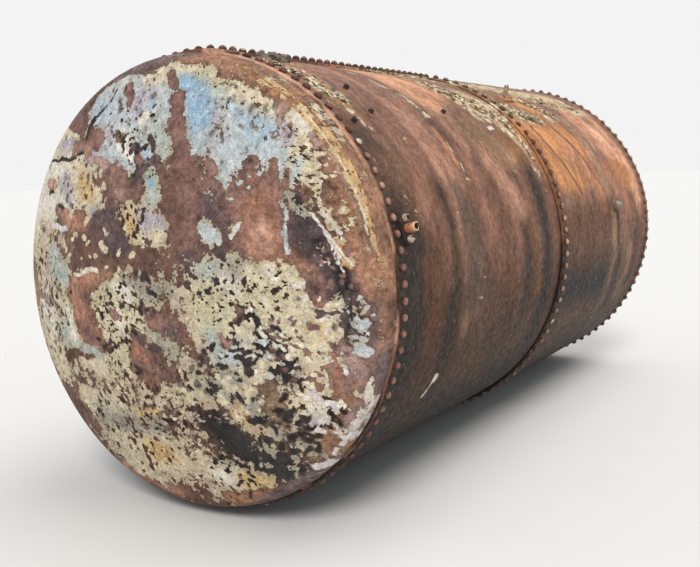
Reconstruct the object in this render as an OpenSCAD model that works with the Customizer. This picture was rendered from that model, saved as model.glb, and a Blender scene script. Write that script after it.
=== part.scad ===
// Horizontal pressure tank: a riveted steel cylinder of two courses of plate,
// closed by two flanged dished heads. All sizes are in millimetres.
// The axis runs along X, the near head faces -X, and the origin is on the
// ground under the middle of the tank. Angles round the shell start at the
// -Y side and rise towards the top, which is at 90 degrees.

/* [Shell] */
// Outer diameter of the near course, which is the inner one at the lap
shell_od = 1524; // [900:2:2400]
// Thickness of the shell plate
plate_t = 9.5; // [6:0.5:16]
// Length between the rivet row of the near head and the mid seam
near_bay = 1427; // [800:1:2600]
// Length between the mid seam and the rivet row of the far head
far_bay = 1342; // [800:1:2600]
// Distance from a rivet row to the edge of the plate
edge_margin = 29; // [22:1:45]
// How far the caulked edge of a plate leans back
caulk = 3; // [1:0.5:5]

/* [Heads] */
// Thickness of the dished heads
head_t = 12; // [8:0.5:20]
// Length of straight flange that shows in front of the shell
head_straight = 33; // [10:1:60]
// Outer radius of the knuckle between flange and dish
knuckle_r = 60; // [40:1:140]
// Outer radius of the dish
crown_r = 1524; // [1300:1:2600]

/* [Rivets] */
// Number of rivets round each ring
ring_count = 96; // [48:4:140]
// Width of a rivet head
rivet_d = 28; // [16:1:38]
// Height of a rivet head
rivet_h = 12; // [6:0.5:18]
// Rivets along the straight seam of the near course
near_seam_count = 27; // [8:1:60]
// Rivets along the straight seam of the far course
far_seam_count = 25; // [8:1:60]

/* [Straight seams] */
// Ring rivet, counted up from the side, at which the near course laps
near_seam_no = 21; // [8:1:23]
// Ring rivet, counted up from the side, at which the far course laps
far_seam_no = 31; // [28:1:40]
// Arc over which a lapped plate lifts onto the one below, in degrees
lift_deg = 15; // [10:1:20]

/* [Side outlet] */
// Distance of the outlet behind the rivet row of the near head
outlet_x = 54; // [50:1:600]
// Angle of the outlet above the side of the shell
outlet_deg = 13.9; // [-20:0.1:40]
// Height of the oval flange round the shell
outlet_h = 104; // [90:1:160]
// Width of the oval flange along the tank
outlet_w = 56; // [50:1:70]
// Thickness of the oval flange at its edge
outlet_t = 9; // [5:0.5:14]
// Bore of the broken pipe stub
outlet_bore = 22; // [15:0.5:24]
// Wall of the broken pipe stub
outlet_wall = 4.5; // [3:0.5:6]
// Length of the stub over its flange, up to the break
outlet_len = 42; // [12:1:60]
// Distance between the two studs of the flange
outlet_studs = 64; // [63:1:120]
// Width of a stud's nut across its flats
nut_across = 24; // [18:1:30]
// Height of a nut
nut_h = 10; // [6:1:16]
// Diameter of a stud
nut_stud = 14; // [8:1:18]
// How far a stud stands out of its nut
nut_proud = 5; // [2:0.5:12]
// Slope of the stub's break along the tank and across it, in degrees
break_along = 24; // [0:1:35]
break_across = 12; // [0:1:30]

/* [Top pad] */
// Distance of the pad behind the rivet row of the near head
pad_x = 150; // [130:1:900]
// Angle of the pad round the shell
pad_deg = 74; // [60:0.5:75]
// Length of the pad along the tank
pad_l = 126; // [80:1:200]
// Width of the pad across the tank
pad_w = 70; // [60:1:76]
// Height of the pad over the shell
pad_t = 15; // [8:1:25]
// Radius of the pad's corners
pad_corner = 12; // [4:1:25]
// Distance of the pad's rivets from its ends
pad_end_gap = 30; // [14:1:40]
// Distance of the pad's rivets from its sides
pad_side_gap = 14; // [13:1:25]
// Width of the rivet heads of the pad and of the lug's foot
small_rivet_d = 21; // [12:1:26]
// Height of those rivet heads
small_rivet_h = 8.5; // [5:0.5:12]

/* [Top lug] */
// Distance of the lug behind the mid seam
lug_x = 200; // [150:1:1000]
// Angle of the lug round the shell
lug_deg = 57.5; // [20:0.5:85]
// Width of the lug along the tank
lug_w = 26; // [16:1:40]
// Thickness of the lug across the tank
lug_t = 13; // [8:1:24]
// Height of the lug from its foot to the middle of its eye
lug_eye_h = 44; // [25:1:70]
// Lean of the lug from the plate's square towards upright, in degrees
lug_lean = 20; // [0:1:30]
// Width of the eye
lug_eye_d = 11; // [6:0.5:14]
// Length of the lug's foot along the tank
lug_foot_l = 120; // [90:1:180]
// Width of the lug's foot across the tank
lug_foot_w = 46; // [36:1:70]
// Thickness of the lug's foot
lug_foot_t = 8; // [5:0.5:12]
// Distance from the near end of the foot to the lug
lug_set = 36; // [20:1:45]
// Radius of the foot's corners
lug_foot_corner = 8; // [3:1:14]
// Distance of the foot's end rivets from its ends
lug_foot_gap = 15; // [13:1:30]

/* [Far boss] */
// Distance of the boss behind the mid seam
boss_x = 775; // [200:1:1200]
// Angle of the boss above the side of the shell
boss_deg = 10.2; // [0:0.1:40]
// Width of the boss
boss_d = 72; // [50:1:110]
// Height of the boss over the shell
boss_h = 16; // [8:1:20]
// Width of the plug's collar
plug_d = 42; // [30:1:48]
// Size of the plug's square head
plug_square = 22; // [14:1:28]
// Height of the plug's square head
plug_h = 16; // [6:1:24]

/* [Stub bolts] */
// Width of the sheared bolts that stand on the near course
stub_d = 20; // [12:1:26]
// Height of the sheared bolts
stub_h = 11; // [6:1:20]
// Distance of each bolt behind the rivet row of the near head
stub_a_x = 256; // [60:1:1200]
stub_b_x = 235; // [60:1:1200]
stub_c_x = 74; // [60:1:1200]
stub_d_x = 793; // [60:1:1200]
// Angle of each bolt above the side of the shell
stub_a_deg = 56; // [20:0.1:70]
stub_b_deg = 46; // [20:0.1:70]
stub_c_deg = 42.4; // [20:0.1:70]
stub_d_deg = 47.5; // [20:0.1:70]

/* [Hidden] */
$fn = 96;

// Radii that follow from the lap of the two courses
near_r = shell_od / 2;
far_r = near_r + plate_t;
near_head_r = near_r - plate_t;
far_head_r = far_r - plate_t;

// Rivet heads are caps of a ball
ball_r = (pow(rivet_d / 2, 2) + pow(rivet_h, 2)) / (2 * rivet_h);
pitch_deg = 360 / ring_count;

// Height of the axis: the tank lies on the two lowest heads of a far ring
axis_h = (far_r + rivet_h - ball_r) * cos(pitch_deg / 2) + ball_r;

// Depth of a dished head from the end of its flange to its middle
function crown_drop(r) = sqrt(pow(crown_r - knuckle_r, 2) - pow(r - knuckle_r, 2));
function dish_depth(r) = crown_r - crown_drop(r);

// Places along the tank, with the whole length centred on X = 0
head_reach = edge_margin + head_straight;
near_reach = head_reach + dish_depth(near_head_r);
far_reach = head_reach + dish_depth(far_head_r);
near_row = near_reach - (near_reach + near_bay + far_bay + far_reach) / 2;
mid_row = near_row + near_bay;
far_row = mid_row + far_bay;

// Middle of the lug's foot
lug_foot_x = mid_row + lug_x - lug_set + lug_foot_l / 2;

// Angles of the rivets and of the two straight seams
function ring_deg(i) = (i + 0.5) * pitch_deg;
near_seam_deg = ring_deg(near_seam_no);
far_seam_deg = ring_deg(far_seam_no);

// Rise of a lapped plate over its circle, d degrees past its seam line
function degrees_of(length, r) = length / r * 180 / PI;
function lap_half(r) = degrees_of(edge_margin, r);
function ease(s) = s * s * (3 - 2 * s);
function lap_rise(d, r) =
    abs(d) <= lap_half(r) ? plate_t :
    d > 0 && d < lap_half(r) + lift_deg ? plate_t * (1 - ease((d - lap_half(r)) / lift_deg)) : 0;

// Slope of the lifted plate at the same place, in degrees
function lap_tilt(d, r) =
    let (s = (d - lap_half(r)) / lift_deg)
    s > 0 && s < 1 ? atan(plate_t * 6 * s * (1 - s) / (lift_deg * PI / 180 * r)) : 0;

// Children stand on the shell, with Z outwards and X along the tank
module on_shell(x, deg, r) {
    translate([x, 0, axis_h])
        rotate([90 - deg, 0, 0])
            translate([0, 0, r])
                children();
}

// A solid cylinder along X through the axis, from x1 to x2
module along_axis(x1, x2, r) {
    translate([x1, 0, axis_h])
        rotate([0, 90, 0])
            cylinder(h = x2 - x1, r = r);
}

// The raised strip where a course laps over its own edge
module lap_strip(x1, x2, r, seam_deg) {
    half = lap_half(r);
    steps = 10;
    arc = [for (i = [0 : steps])
        let (d = half + lift_deg * i / steps)
        [d, r + lap_rise(min(d, half + lift_deg - 0.001), r)]];
    lap = [for (i = [-2 : 2]) [half * i / 2, r + plate_t]];
    outer = concat(lap, [for (i = [1 : steps]) arc[i]]);
    sunk_r = r - plate_t / 4;
    inner = [[half + lift_deg, sunk_r], [half + lift_deg * 0.5, sunk_r],
             [0, sunk_r], [-half, sunk_r]];
    translate([x1, 0, axis_h])
        rotate([90, 0, 90])
            linear_extrude(x2 - x1)
                polygon([for (p = concat(outer, inner))
                    [-p[1] * cos(seam_deg + p[0]), p[1] * sin(seam_deg + p[0])]]);
}

// One course of plate with caulked edges, rolled and lapped on itself
module course(x1, x2, r_out, seam_deg, lap_x1, lap_x2) {
    union() {
        translate([x1, 0, axis_h])
            rotate([0, 90, 0])
                rotate_extrude()
                    polygon([
                        [r_out - plate_t, 0],
                        [r_out, caulk],
                        [r_out, x2 - x1 - caulk],
                        [r_out - plate_t, x2 - x1]
                    ]);
        lap_strip(lap_x1, lap_x2, r_out, seam_deg);
    }
}

// Half outline of a filled head, t inside its outer face and open at Z = -depth
module head_outline(r, t, depth) {
    knuckle_at = r - knuckle_r;
    drop = crown_drop(r);
    meet = atan2(drop, knuckle_at);
    union() {
        translate([0, -depth])
            square([r - t, depth]);
        intersection() {
            translate([knuckle_at, 0])
                circle(knuckle_r - t);
            translate([0, -depth])
                square([r, depth + knuckle_r]);
        }
        intersection() {
            translate([0, -drop])
                circle(crown_r - t);
            polygon([
                [0, -depth],
                [knuckle_at, -depth],
                [knuckle_at, 0],
                [knuckle_at + crown_r * cos(meet), crown_r * sin(meet)],
                [0, crown_r * sin(meet)]
            ]);
        }
    }
}

// A dished head of one plate: flange, knuckle and dish. The end of the
// straight part that shows is at Z = 0, and the rest goes into the shell.
module dished_head(r) {
    depth = 2 * edge_margin + head_straight;
    rotate_extrude()
        difference() {
            head_outline(r, 0, depth);
            head_outline(r, head_t, depth + head_t);
        }
}

// A round rivet head on a flat base
module rivet_head(d = rivet_d, h = rivet_h) {
    ball = (d * d / 4 + h * h) / (2 * h);
    rotate_extrude($fn = 32)
        intersection() {
            translate([0, h - ball])
                circle(ball);
            square([d / 2, h]);
        }
}

// A full ring of rivets, raised where it crosses the lapped seam
module rivet_ring(x, r, seam_deg) {
    for (i = [0 : ring_count - 1]) {
        turn = ring_deg(i);
        past = turn - seam_deg;
        on_shell(x, turn, r + lap_rise(past, r))
            rotate([-lap_tilt(past, r), 0, 0])
                rivet_head();
    }
}

// Rivets along a straight seam, between two ring rows
module rivet_line(x1, x2, count, deg, r) {
    step = (x2 - x1) / (count + 1);
    for (i = [1 : count])
        on_shell(x1 + step * i, deg, r + plate_t)
            rivet_head();
}

// What lies between two radii of the shell, under an outline drawn on it
module saddle(x, deg, r, t) {
    difference() {
        intersection() {
            on_shell(x, deg, r - 2 * t)
                linear_extrude(4 * t)
                    children();
            along_axis(x - r / 2, x + r / 2, r + t);
        }
        along_axis(x - r / 2 - 1, x + r / 2 + 1, r);
    }
}

// An oval outline with round ends, long across the tank
module oval(w, l) {
    square([w, l - w], center = true);
    for (side = [-1, 1])
        translate([0, side * (l - w) / 2])
            circle(w / 2);
}

// A rectangle with round corners
module plate_outline(l, w, corner) {
    square([l - 2 * corner, w], center = true);
    square([l, w - 2 * corner], center = true);
    for (sx = [-1, 1])
        for (sy = [-1, 1])
            translate([sx * (l / 2 - corner), sy * (w / 2 - corner)])
                circle(corner);
}

// A six sided nut with the end of its stud
module stud_nut() {
    union() {
        cylinder(h = nut_h, d = nut_across / cos(30), $fn = 6);
        cylinder(h = nut_h + nut_proud, d = nut_stud);
    }
}

module near_course() {
    color([0.42, 0.25, 0.19])
        course(near_row - edge_margin, mid_row + edge_margin, near_r, near_seam_deg,
               near_row - edge_margin + caulk, mid_row - edge_margin);
}

module far_course() {
    color([0.48, 0.30, 0.21])
        course(mid_row - edge_margin, far_row + edge_margin, far_r, far_seam_deg,
               mid_row - edge_margin + caulk, far_row + edge_margin - caulk);
}

module near_head() {
    color([0.66, 0.64, 0.56])
        translate([near_row - head_reach, 0, axis_h])
            rotate([0, -90, 0])
                dished_head(near_head_r);
}

module far_head() {
    color([0.50, 0.38, 0.30])
        translate([far_row + head_reach, 0, axis_h])
            rotate([0, 90, 0])
                dished_head(far_head_r);
}

module near_head_rivets() {
    color([0.50, 0.33, 0.25])
        rivet_ring(near_row, near_r, near_seam_deg);
}

module mid_seam_rivets() {
    color([0.46, 0.30, 0.22])
        rivet_ring(mid_row, far_r, far_seam_deg);
}

module far_head_rivets() {
    color([0.55, 0.36, 0.26])
        rivet_ring(far_row, far_r, far_seam_deg);
}

module near_straight_seam_rivets() {
    color([0.46, 0.30, 0.22])
        rivet_line(near_row, mid_row, near_seam_count, near_seam_deg, near_r);
}

module far_straight_seam_rivets() {
    color([0.46, 0.30, 0.22])
        rivet_line(mid_row, far_row, far_seam_count, far_seam_deg, far_r);
}

module outlet_flange() {
    color([0.35, 0.26, 0.22])
        difference() {
            saddle(near_row + outlet_x, outlet_deg, near_r, outlet_t)
                oval(outlet_w, outlet_h);
            on_shell(near_row + outlet_x, outlet_deg, near_r - outlet_t)
                cylinder(h = 4 * outlet_t, d = outlet_bore + 2 * outlet_wall);
        }
}

module outlet_stub() {
    top = outlet_t + outlet_len;
    color([0.70, 0.46, 0.30])
        on_shell(near_row + outlet_x, outlet_deg, near_r)
            difference() {
                cylinder(h = top, d = outlet_bore + 2 * outlet_wall);
                translate([0, 0, -1])
                    cylinder(h = top + 2, d = outlet_bore);
                translate([0, 0, top])
                    rotate([break_along, break_across, 0])
                        translate([-outlet_bore, -outlet_bore * 2, outlet_wall / 2])
                            cube([outlet_bore * 2, outlet_bore * 4, outlet_bore]);
            }
}

module outlet_nuts() {
    color([0.62, 0.50, 0.44])
        for (side = [-1, 1])
            on_shell(near_row + outlet_x,
                     outlet_deg + side * degrees_of(outlet_studs / 2, near_r),
                     near_r + outlet_t)
                stud_nut();
}

module top_pad() {
    color([0.40, 0.38, 0.36])
        saddle(near_row + pad_x, pad_deg, near_r, pad_t)
            plate_outline(pad_l, pad_w, pad_corner);
}

module top_pad_rivets() {
    color([0.60, 0.56, 0.52])
        for (sx = [-1, 1])
            for (side = [-1, 1])
                on_shell(near_row + pad_x + sx * (pad_l / 2 - pad_end_gap),
                         pad_deg + side * degrees_of(pad_w / 2 - pad_side_gap, near_r),
                         near_r + pad_t)
                    rivet_head(small_rivet_d, small_rivet_h);
}

module lug_foot() {
    color([0.62, 0.46, 0.34])
        saddle(lug_foot_x, lug_deg, far_r, lug_foot_t)
            plate_outline(lug_foot_l, lug_foot_w, lug_foot_corner);
}

// The lug from its side, with a root that reaches below its foot's top
module lug_outline() {
    difference() {
        union() {
            translate([-lug_w / 2, -lug_t])
                square([lug_w, lug_eye_h + lug_t]);
            translate([0, lug_eye_h])
                circle(lug_w / 2);
        }
        translate([0, lug_eye_h])
            circle(lug_eye_d / 2);
    }
}

module top_lug() {
    tall = lug_eye_h + lug_w;
    color([0.78, 0.74, 0.66])
        on_shell(mid_row + lug_x, lug_deg, far_r + lug_foot_t)
            intersection() {
                rotate([90 - lug_lean, 0, 0])
                    translate([0, 0, -lug_t / 2])
                        linear_extrude(lug_t)
                            lug_outline();
                translate([-lug_w, -tall, 0])
                    cube([2 * lug_w, 2 * tall, 2 * tall]);
            }
}

module lug_foot_rivets() {
    end = lug_foot_l / 2 - lug_foot_gap;
    clear = (lug_w + small_rivet_d) / 2;
    color([0.46, 0.30, 0.22])
        for (x = [-end, 0, end])
            if (abs(lug_foot_x + x - mid_row - lug_x) > clear)
                on_shell(lug_foot_x + x, lug_deg, far_r + lug_foot_t)
                    rivet_head(small_rivet_d, small_rivet_h);
}

module far_boss() {
    color([0.60, 0.55, 0.50])
        difference() {
            saddle(mid_row + boss_x, boss_deg, far_r, boss_h)
                circle(boss_d / 2);
            on_shell(mid_row + boss_x, boss_deg, far_r)
                cylinder(h = 2 * boss_h, d = plug_d);
        }
}

module far_plug() {
    color([0.72, 0.70, 0.66])
        on_shell(mid_row + boss_x, boss_deg, far_r)
            union() {
                cylinder(h = boss_h + 1, d = plug_d);
                translate([-plug_square / 2, -plug_square / 2, boss_h])
                    cube([plug_square, plug_square, plug_h]);
            }
}

module stub_bolts() {
    color([0.34, 0.26, 0.24])
        for (at = [[stub_a_x, stub_a_deg], [stub_b_x, stub_b_deg],
                   [stub_c_x, stub_c_deg], [stub_d_x, stub_d_deg]])
            on_shell(near_row + at[0], at[1], near_r)
                cylinder(h = stub_h, d = stub_d);
}

near_course();
far_course();
near_head();
far_head();
near_head_rivets();
mid_seam_rivets();
far_head_rivets();
near_straight_seam_rivets();
far_straight_seam_rivets();
outlet_flange();
outlet_stub();
outlet_nuts();
top_pad();
top_pad_rivets();
lug_foot();
top_lug();
lug_foot_rivets();
far_boss();
far_plug();
stub_bolts();
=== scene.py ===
import math

import bpy
import numpy as np
from mathutils import Matrix, Vector


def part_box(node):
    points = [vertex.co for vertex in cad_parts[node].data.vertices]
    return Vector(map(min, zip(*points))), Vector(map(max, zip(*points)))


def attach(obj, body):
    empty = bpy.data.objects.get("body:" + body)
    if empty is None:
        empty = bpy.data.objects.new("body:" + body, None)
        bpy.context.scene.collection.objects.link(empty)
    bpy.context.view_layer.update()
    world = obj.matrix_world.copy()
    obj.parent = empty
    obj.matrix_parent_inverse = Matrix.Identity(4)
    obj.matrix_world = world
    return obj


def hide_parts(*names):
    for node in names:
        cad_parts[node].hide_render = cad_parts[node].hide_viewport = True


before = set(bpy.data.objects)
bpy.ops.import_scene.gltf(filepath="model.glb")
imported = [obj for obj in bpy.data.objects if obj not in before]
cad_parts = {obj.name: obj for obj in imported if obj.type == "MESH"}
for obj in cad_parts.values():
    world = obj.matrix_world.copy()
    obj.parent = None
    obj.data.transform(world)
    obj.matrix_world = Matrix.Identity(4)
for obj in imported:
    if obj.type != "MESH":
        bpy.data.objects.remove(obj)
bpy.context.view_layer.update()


def low_corner(node, axis):
    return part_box(node)[0][axis]


def high_corner(node, axis):
    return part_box(node)[1][axis]


def middle(node, axis):
    return (low_corner(node, axis) + high_corner(node, axis)) / 2


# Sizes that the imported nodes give, in metres
AXIS_Z = middle("near_head", 2)
NEAR_R = AXIS_Z - low_corner("near_course", 2)
FAR_R = AXIS_Z - low_corner("far_course", 2)
NEAR_ROW = middle("near_head_rivets", 0)
MID_ROW = middle("mid_seam_rivets", 0)
FAR_ROW = middle("far_head_rivets", 0)
PLATE = FAR_R - NEAR_R
EDGE = NEAR_ROW - low_corner("near_course", 0)
NEAR_HEAD_R = NEAR_R - PLATE
FAR_HEAD_R = FAR_R - PLATE

# Sizes repeated from the part's source: metres, counts, and degrees above the side
CAULK = 0.003
HEAD_T = 0.012
KNUCKLE_R = 0.060
CROWN_R = 1.524
RIVET_R = 0.014
RIVET_HIGH = 0.012
RING_COUNT = 96
NEAR_SEAM_COUNT = 27
FAR_SEAM_COUNT = 25
PITCH = 360 / RING_COUNT
NEAR_SEAM_DEG = 21.5 * PITCH
FAR_SEAM_DEG = 31.5 * PITCH
LIFT_DEG = 15

# Fittings, as in the part's source: place behind a rivet row, degrees above the side, and sizes
OUTLET_X, OUTLET_DEG = 0.054, 13.9
FLANGE_WIDE, FLANGE_LONG, FLANGE_T, STUD_OFF = 0.056, 0.104, 0.009, 0.032
PAD_X, PAD_DEG = 0.150, 74
PAD_LONG, PAD_WIDE, PAD_CORNER, PAD_T = 0.126, 0.070, 0.012, 0.015
PAD_RIVET_X, PAD_RIVET_OFF = 0.033, 0.021
LUG_X, LUG_DEG, LUG_LEAN = 0.200, 57.5, 20
LUG_WIDE, LUG_HIGH, LUG_EYE_R, LUG_T, LUG_SUNK = 0.026, 0.044, 0.0055, 0.013, 0.001
FOOT_SHIFT, FOOT_LONG, FOOT_WIDE, FOOT_CORNER, FOOT_T = 0.024, 0.120, 0.046, 0.008, 0.008
FOOT_RIVET_X = 0.045
BOSS_X, BOSS_DEG, BOSS_WIDE, BOSS_T = 0.775, 10.2, 0.072, 0.016
STUB_BOLTS = [(0.256, 56), (0.235, 46), (0.074, 42.4), (0.793, 47.5)]

OLD_PAINT = (206, 196, 176)
MM = 1000  # millimetres in a metre, for charts and for noise
DEG_MM = 13.3  # millimetres of plate in a degree round the shell
FLAT = (1, 1, 1)  # a noise that is stretched nowhere


def srgb(r, g, b):
    """A colour as it looks on a screen, turned into the linear one that materials use."""
    def linear(c):
        c = c / 255
        return c / 12.92 if c <= 0.04045 else ((c + 0.055) / 1.055) ** 2.4
    return (linear(r), linear(g), linear(b))


# Each finish: paint cover, speck density, paint colour, metal colour; None leaves what is there
FINISHES = {
    "sky": (1.00, 0.10, (162, 192, 208), None), "aqua": (0.98, 0.30, (184, 202, 208), None),
    "smut": (None, None, (122, 112, 100), None), "pale": (1.02, 0.30, (202, 210, 207), None),
    "pale_green": (0.96, 0.50, (190, 197, 182), None), "lilac": (0.88, 0.5, (192, 184, 188), None),
    "ivory": (1.04, 0.25, (244, 236, 214), None), "cream": (0.95, 0.5, (230, 216, 180), None),
    "speckled": (0.82, 1.0, (216, 206, 168), None), "olive_speck": (0.72, 1.0, (172, 167, 148), None),
    "ochre": (0.86, 0.5, (224, 190, 130), None), "gold": (0.70, 0.6, (220, 180, 118), (178, 124, 78)),
    "thin": (0.60, 0.9, (214, 196, 166), None), "sooty": (0.40, 1.0, (180, 174, 156), (58, 50, 50)),
    "white": (1.00, 0.0, (238, 232, 224), None), "streak": (0.68, 0.2, (232, 222, 214), None),
    "brick": (0.12, 0.3, None, (146, 107, 95)), "rust": (0.14, 0.3, None, (124, 90, 76)),
    "orange": (0.12, 0.3, None, (186, 132, 106)), "pink": (0.14, 0.3, None, (182, 146, 133)),
    "purple": (0.16, 0.4, None, (98, 79, 77)), "black": (0.14, 0.5, None, (56, 50, 50)),
    "rim_purple": (0.12, 0.3, None, (128, 104, 100)), "rim_orange": (0.18, 0.4, None, (174, 126, 98)),
    "salmon": (0.10, 0.2, None, (220, 166, 140)), "lit_edge": (0.10, 0.1, None, (220, 176, 158)),
    "bright": (0.08, 0.2, None, (208, 148, 100)), "brown": (0.08, 0.2, None, (104, 72, 52)),
    "dark": (0.08, 0.3, None, (48, 38, 34)), "grey_brown": (0.12, 0.3, None, (144, 114, 90)),
    "olive": (0.10, 0.3, None, (66, 48, 36)), "honey": (0.14, 0.3, None, (156, 112, 62)),
    "rose": (0.12, 0.3, None, (174, 132, 116)), "mauve": (0.14, 0.3, None, (164, 132, 112)),
    "crust": (0.57, 0.9, (230, 214, 180), (156, 124, 98)), "drab": (0.12, 0.3, None, (106, 86, 77)),
    "fox": (0.12, 0.3, None, (98, 64, 46)), "flakes": (0.52, 0.6, (224, 212, 188), None),
    # The next finish is pale old coating; on the far course's top it also stands for painted sheen
    "bleached_and_sheen": (0.56, 0.5, (232, 216, 186), (206, 172, 138)),
    "scale": (0.26, 0.8, (166, 144, 128), (108, 78, 64)),
}


# Seeded noise on arrays

def hashed(ix, iy, iz, seed):
    h = (ix * 374761393 + iy * 668265263 + iz * 1442695041 + seed * 974634777) & 0xFFFFFFFF
    h = ((h ^ (h >> 13)) * 1274126177) & 0xFFFFFFFF
    h = h ^ (h >> 16)
    return (h & 0xFFFFFF) / float(0xFFFFFF)


def value_noise(p, seed):
    cell = np.floor(p).astype(np.int64)
    f = p - cell
    f = f * f * (3 - 2 * f)
    shares = (1 - f, f)
    total = np.zeros(len(p))
    for dx, dy, dz in np.ndindex(2, 2, 2):
        weight = shares[dx][:, 0] * shares[dy][:, 1] * shares[dz][:, 2]
        total += weight * hashed(*(cell + (dx, dy, dz)).T, seed)
    return total


def fractal(p, scale, octaves=4, seed=0):
    total = np.zeros(len(p))
    size = 0.0
    for i in range(octaves):
        amount = 0.5 ** i
        total += amount * value_noise(p * scale * 2 ** i + 17.3 * i, seed + i)
        size += amount
    return total / size


def smooth(low, high, x):
    t = np.clip((x - low) / (high - low), 0, 1)
    return t * t * (3 - 2 * t)


# Relief of the plates: scale of the noise per millimetre and depth in metres
HEAD_RELIEF = {"dent": (0.004, 0.0022), "crust": (0.045, 0.0012), "pit": (0.055, 0.0009),
               "pit_ends": (0.62, 0.80), "apart": 9}
SHELL_RELIEF = {"dent": (0.0026, 0.0042), "crust": (0.035, 0.0014), "pit": (0.05, 0.0010),
                "pit_ends": (0.60, 0.78), "apart": 7}


def relief(flat, seed, dent, crust, pit, pit_ends, apart):
    """How far the worn plate lies inside its clean shape."""
    push = (fractal(flat, dent[0], 3, seed) - 1.0) * dent[1]
    push += (fractal(flat, crust[0], 4, seed + apart) - 1.0) * crust[1]
    return push - smooth(*pit_ends, fractal(flat, pit[0], 3, seed + apart + 10)) * pit[1]


class Chart:
    """The finish at each point of a chart in millimetres, painted with soft strokes in turn.

    The strokes' edges wander with noise of the given scale; w sets points apart in that noise."""

    def __init__(self, u, v, ground, wander, scale, seed, w=0.0):
        self.count = len(u)
        flat = np.column_stack([u, v, np.zeros(self.count) + w])
        self.flat_u, self.flat_v = u, v
        self.u = u + (fractal(flat, scale, 4, seed) - 0.5) * 2 * wander
        self.v = v + (fractal(flat, scale, 4, seed + 40) - 0.5) * 2 * wander
        # Arcs wander less than strokes do
        self.reach = np.hypot(u * 0.85 + self.u * 0.15, v * 0.85 + self.v * 0.15)
        self.turn = np.degrees(np.arctan2(v, u)) % 360
        self.cover = np.full(self.count, 0.1)
        self.specks = np.full(self.count, 0.3)
        self.paint = np.tile(srgb(206, 192, 156), (self.count, 1))
        self.metal = np.tile(srgb(140, 88, 64), (self.count, 1))
        self.lay(ground, np.ones(self.count))

    def stroke(self, finish, u1, v1, u2, v2, half_width, soft=0.45):
        du, dv = u2 - u1, v2 - v1
        length = du * du + dv * dv
        along = 0.0
        if length > 0:
            along = np.clip(((self.u - u1) * du + (self.v - v1) * dv) / length, 0, 1)
        away = np.hypot(self.u - u1 - along * du, self.v - v1 - along * dv) / half_width
        self.lay(finish, 1 - smooth(1 - soft, 1 + soft, away))

    def scratch(self, *stroke):
        """A stroke with straight sides."""
        wavy = self.u, self.v
        self.u, self.v = self.flat_u, self.flat_v
        self.stroke(*stroke, 0.5)
        self.u, self.v = wavy

    def arc(self, finish, radius, start, end, half_width):
        away = 1 - smooth(0.5, 1.5, np.abs(self.reach - radius) / half_width)
        self.lay(finish, away * smooth(start, start + 8, self.turn) * (1 - smooth(end - 8, end, self.turn)))

    def scatter(self, rng, finish, u, v, reach, count, half_width):
        for _ in range(count):
            away, turn, lean = reach * math.sqrt(rng.random()), rng.random() * 7, rng.random() * 7
            size = half_width * (0.4 + 0.8 * rng.random())
            length = size * 2.5 * rng.random()
            x, y = u + away * math.cos(turn), v + away * math.sin(turn)
            self.stroke(finish, x, y, x + length * math.cos(lean), y + length * math.sin(lean), size, 0.5)

    def lay(self, finish, weight):
        cover, specks, paint, metal = FINISHES[finish]
        if cover is not None:
            self.cover += (cover - self.cover) * weight
            self.specks += (specks - self.specks) * weight
        if paint:
            self.paint += (np.array(srgb(*paint)) - self.paint) * weight[:, None]
        if metal:
            self.metal += (np.array(srgb(*metal)) - self.metal) * weight[:, None]

    def finish(self, obj):
        set_finish(obj, self.paint, self.cover, self.metal, self.specks)


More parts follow.
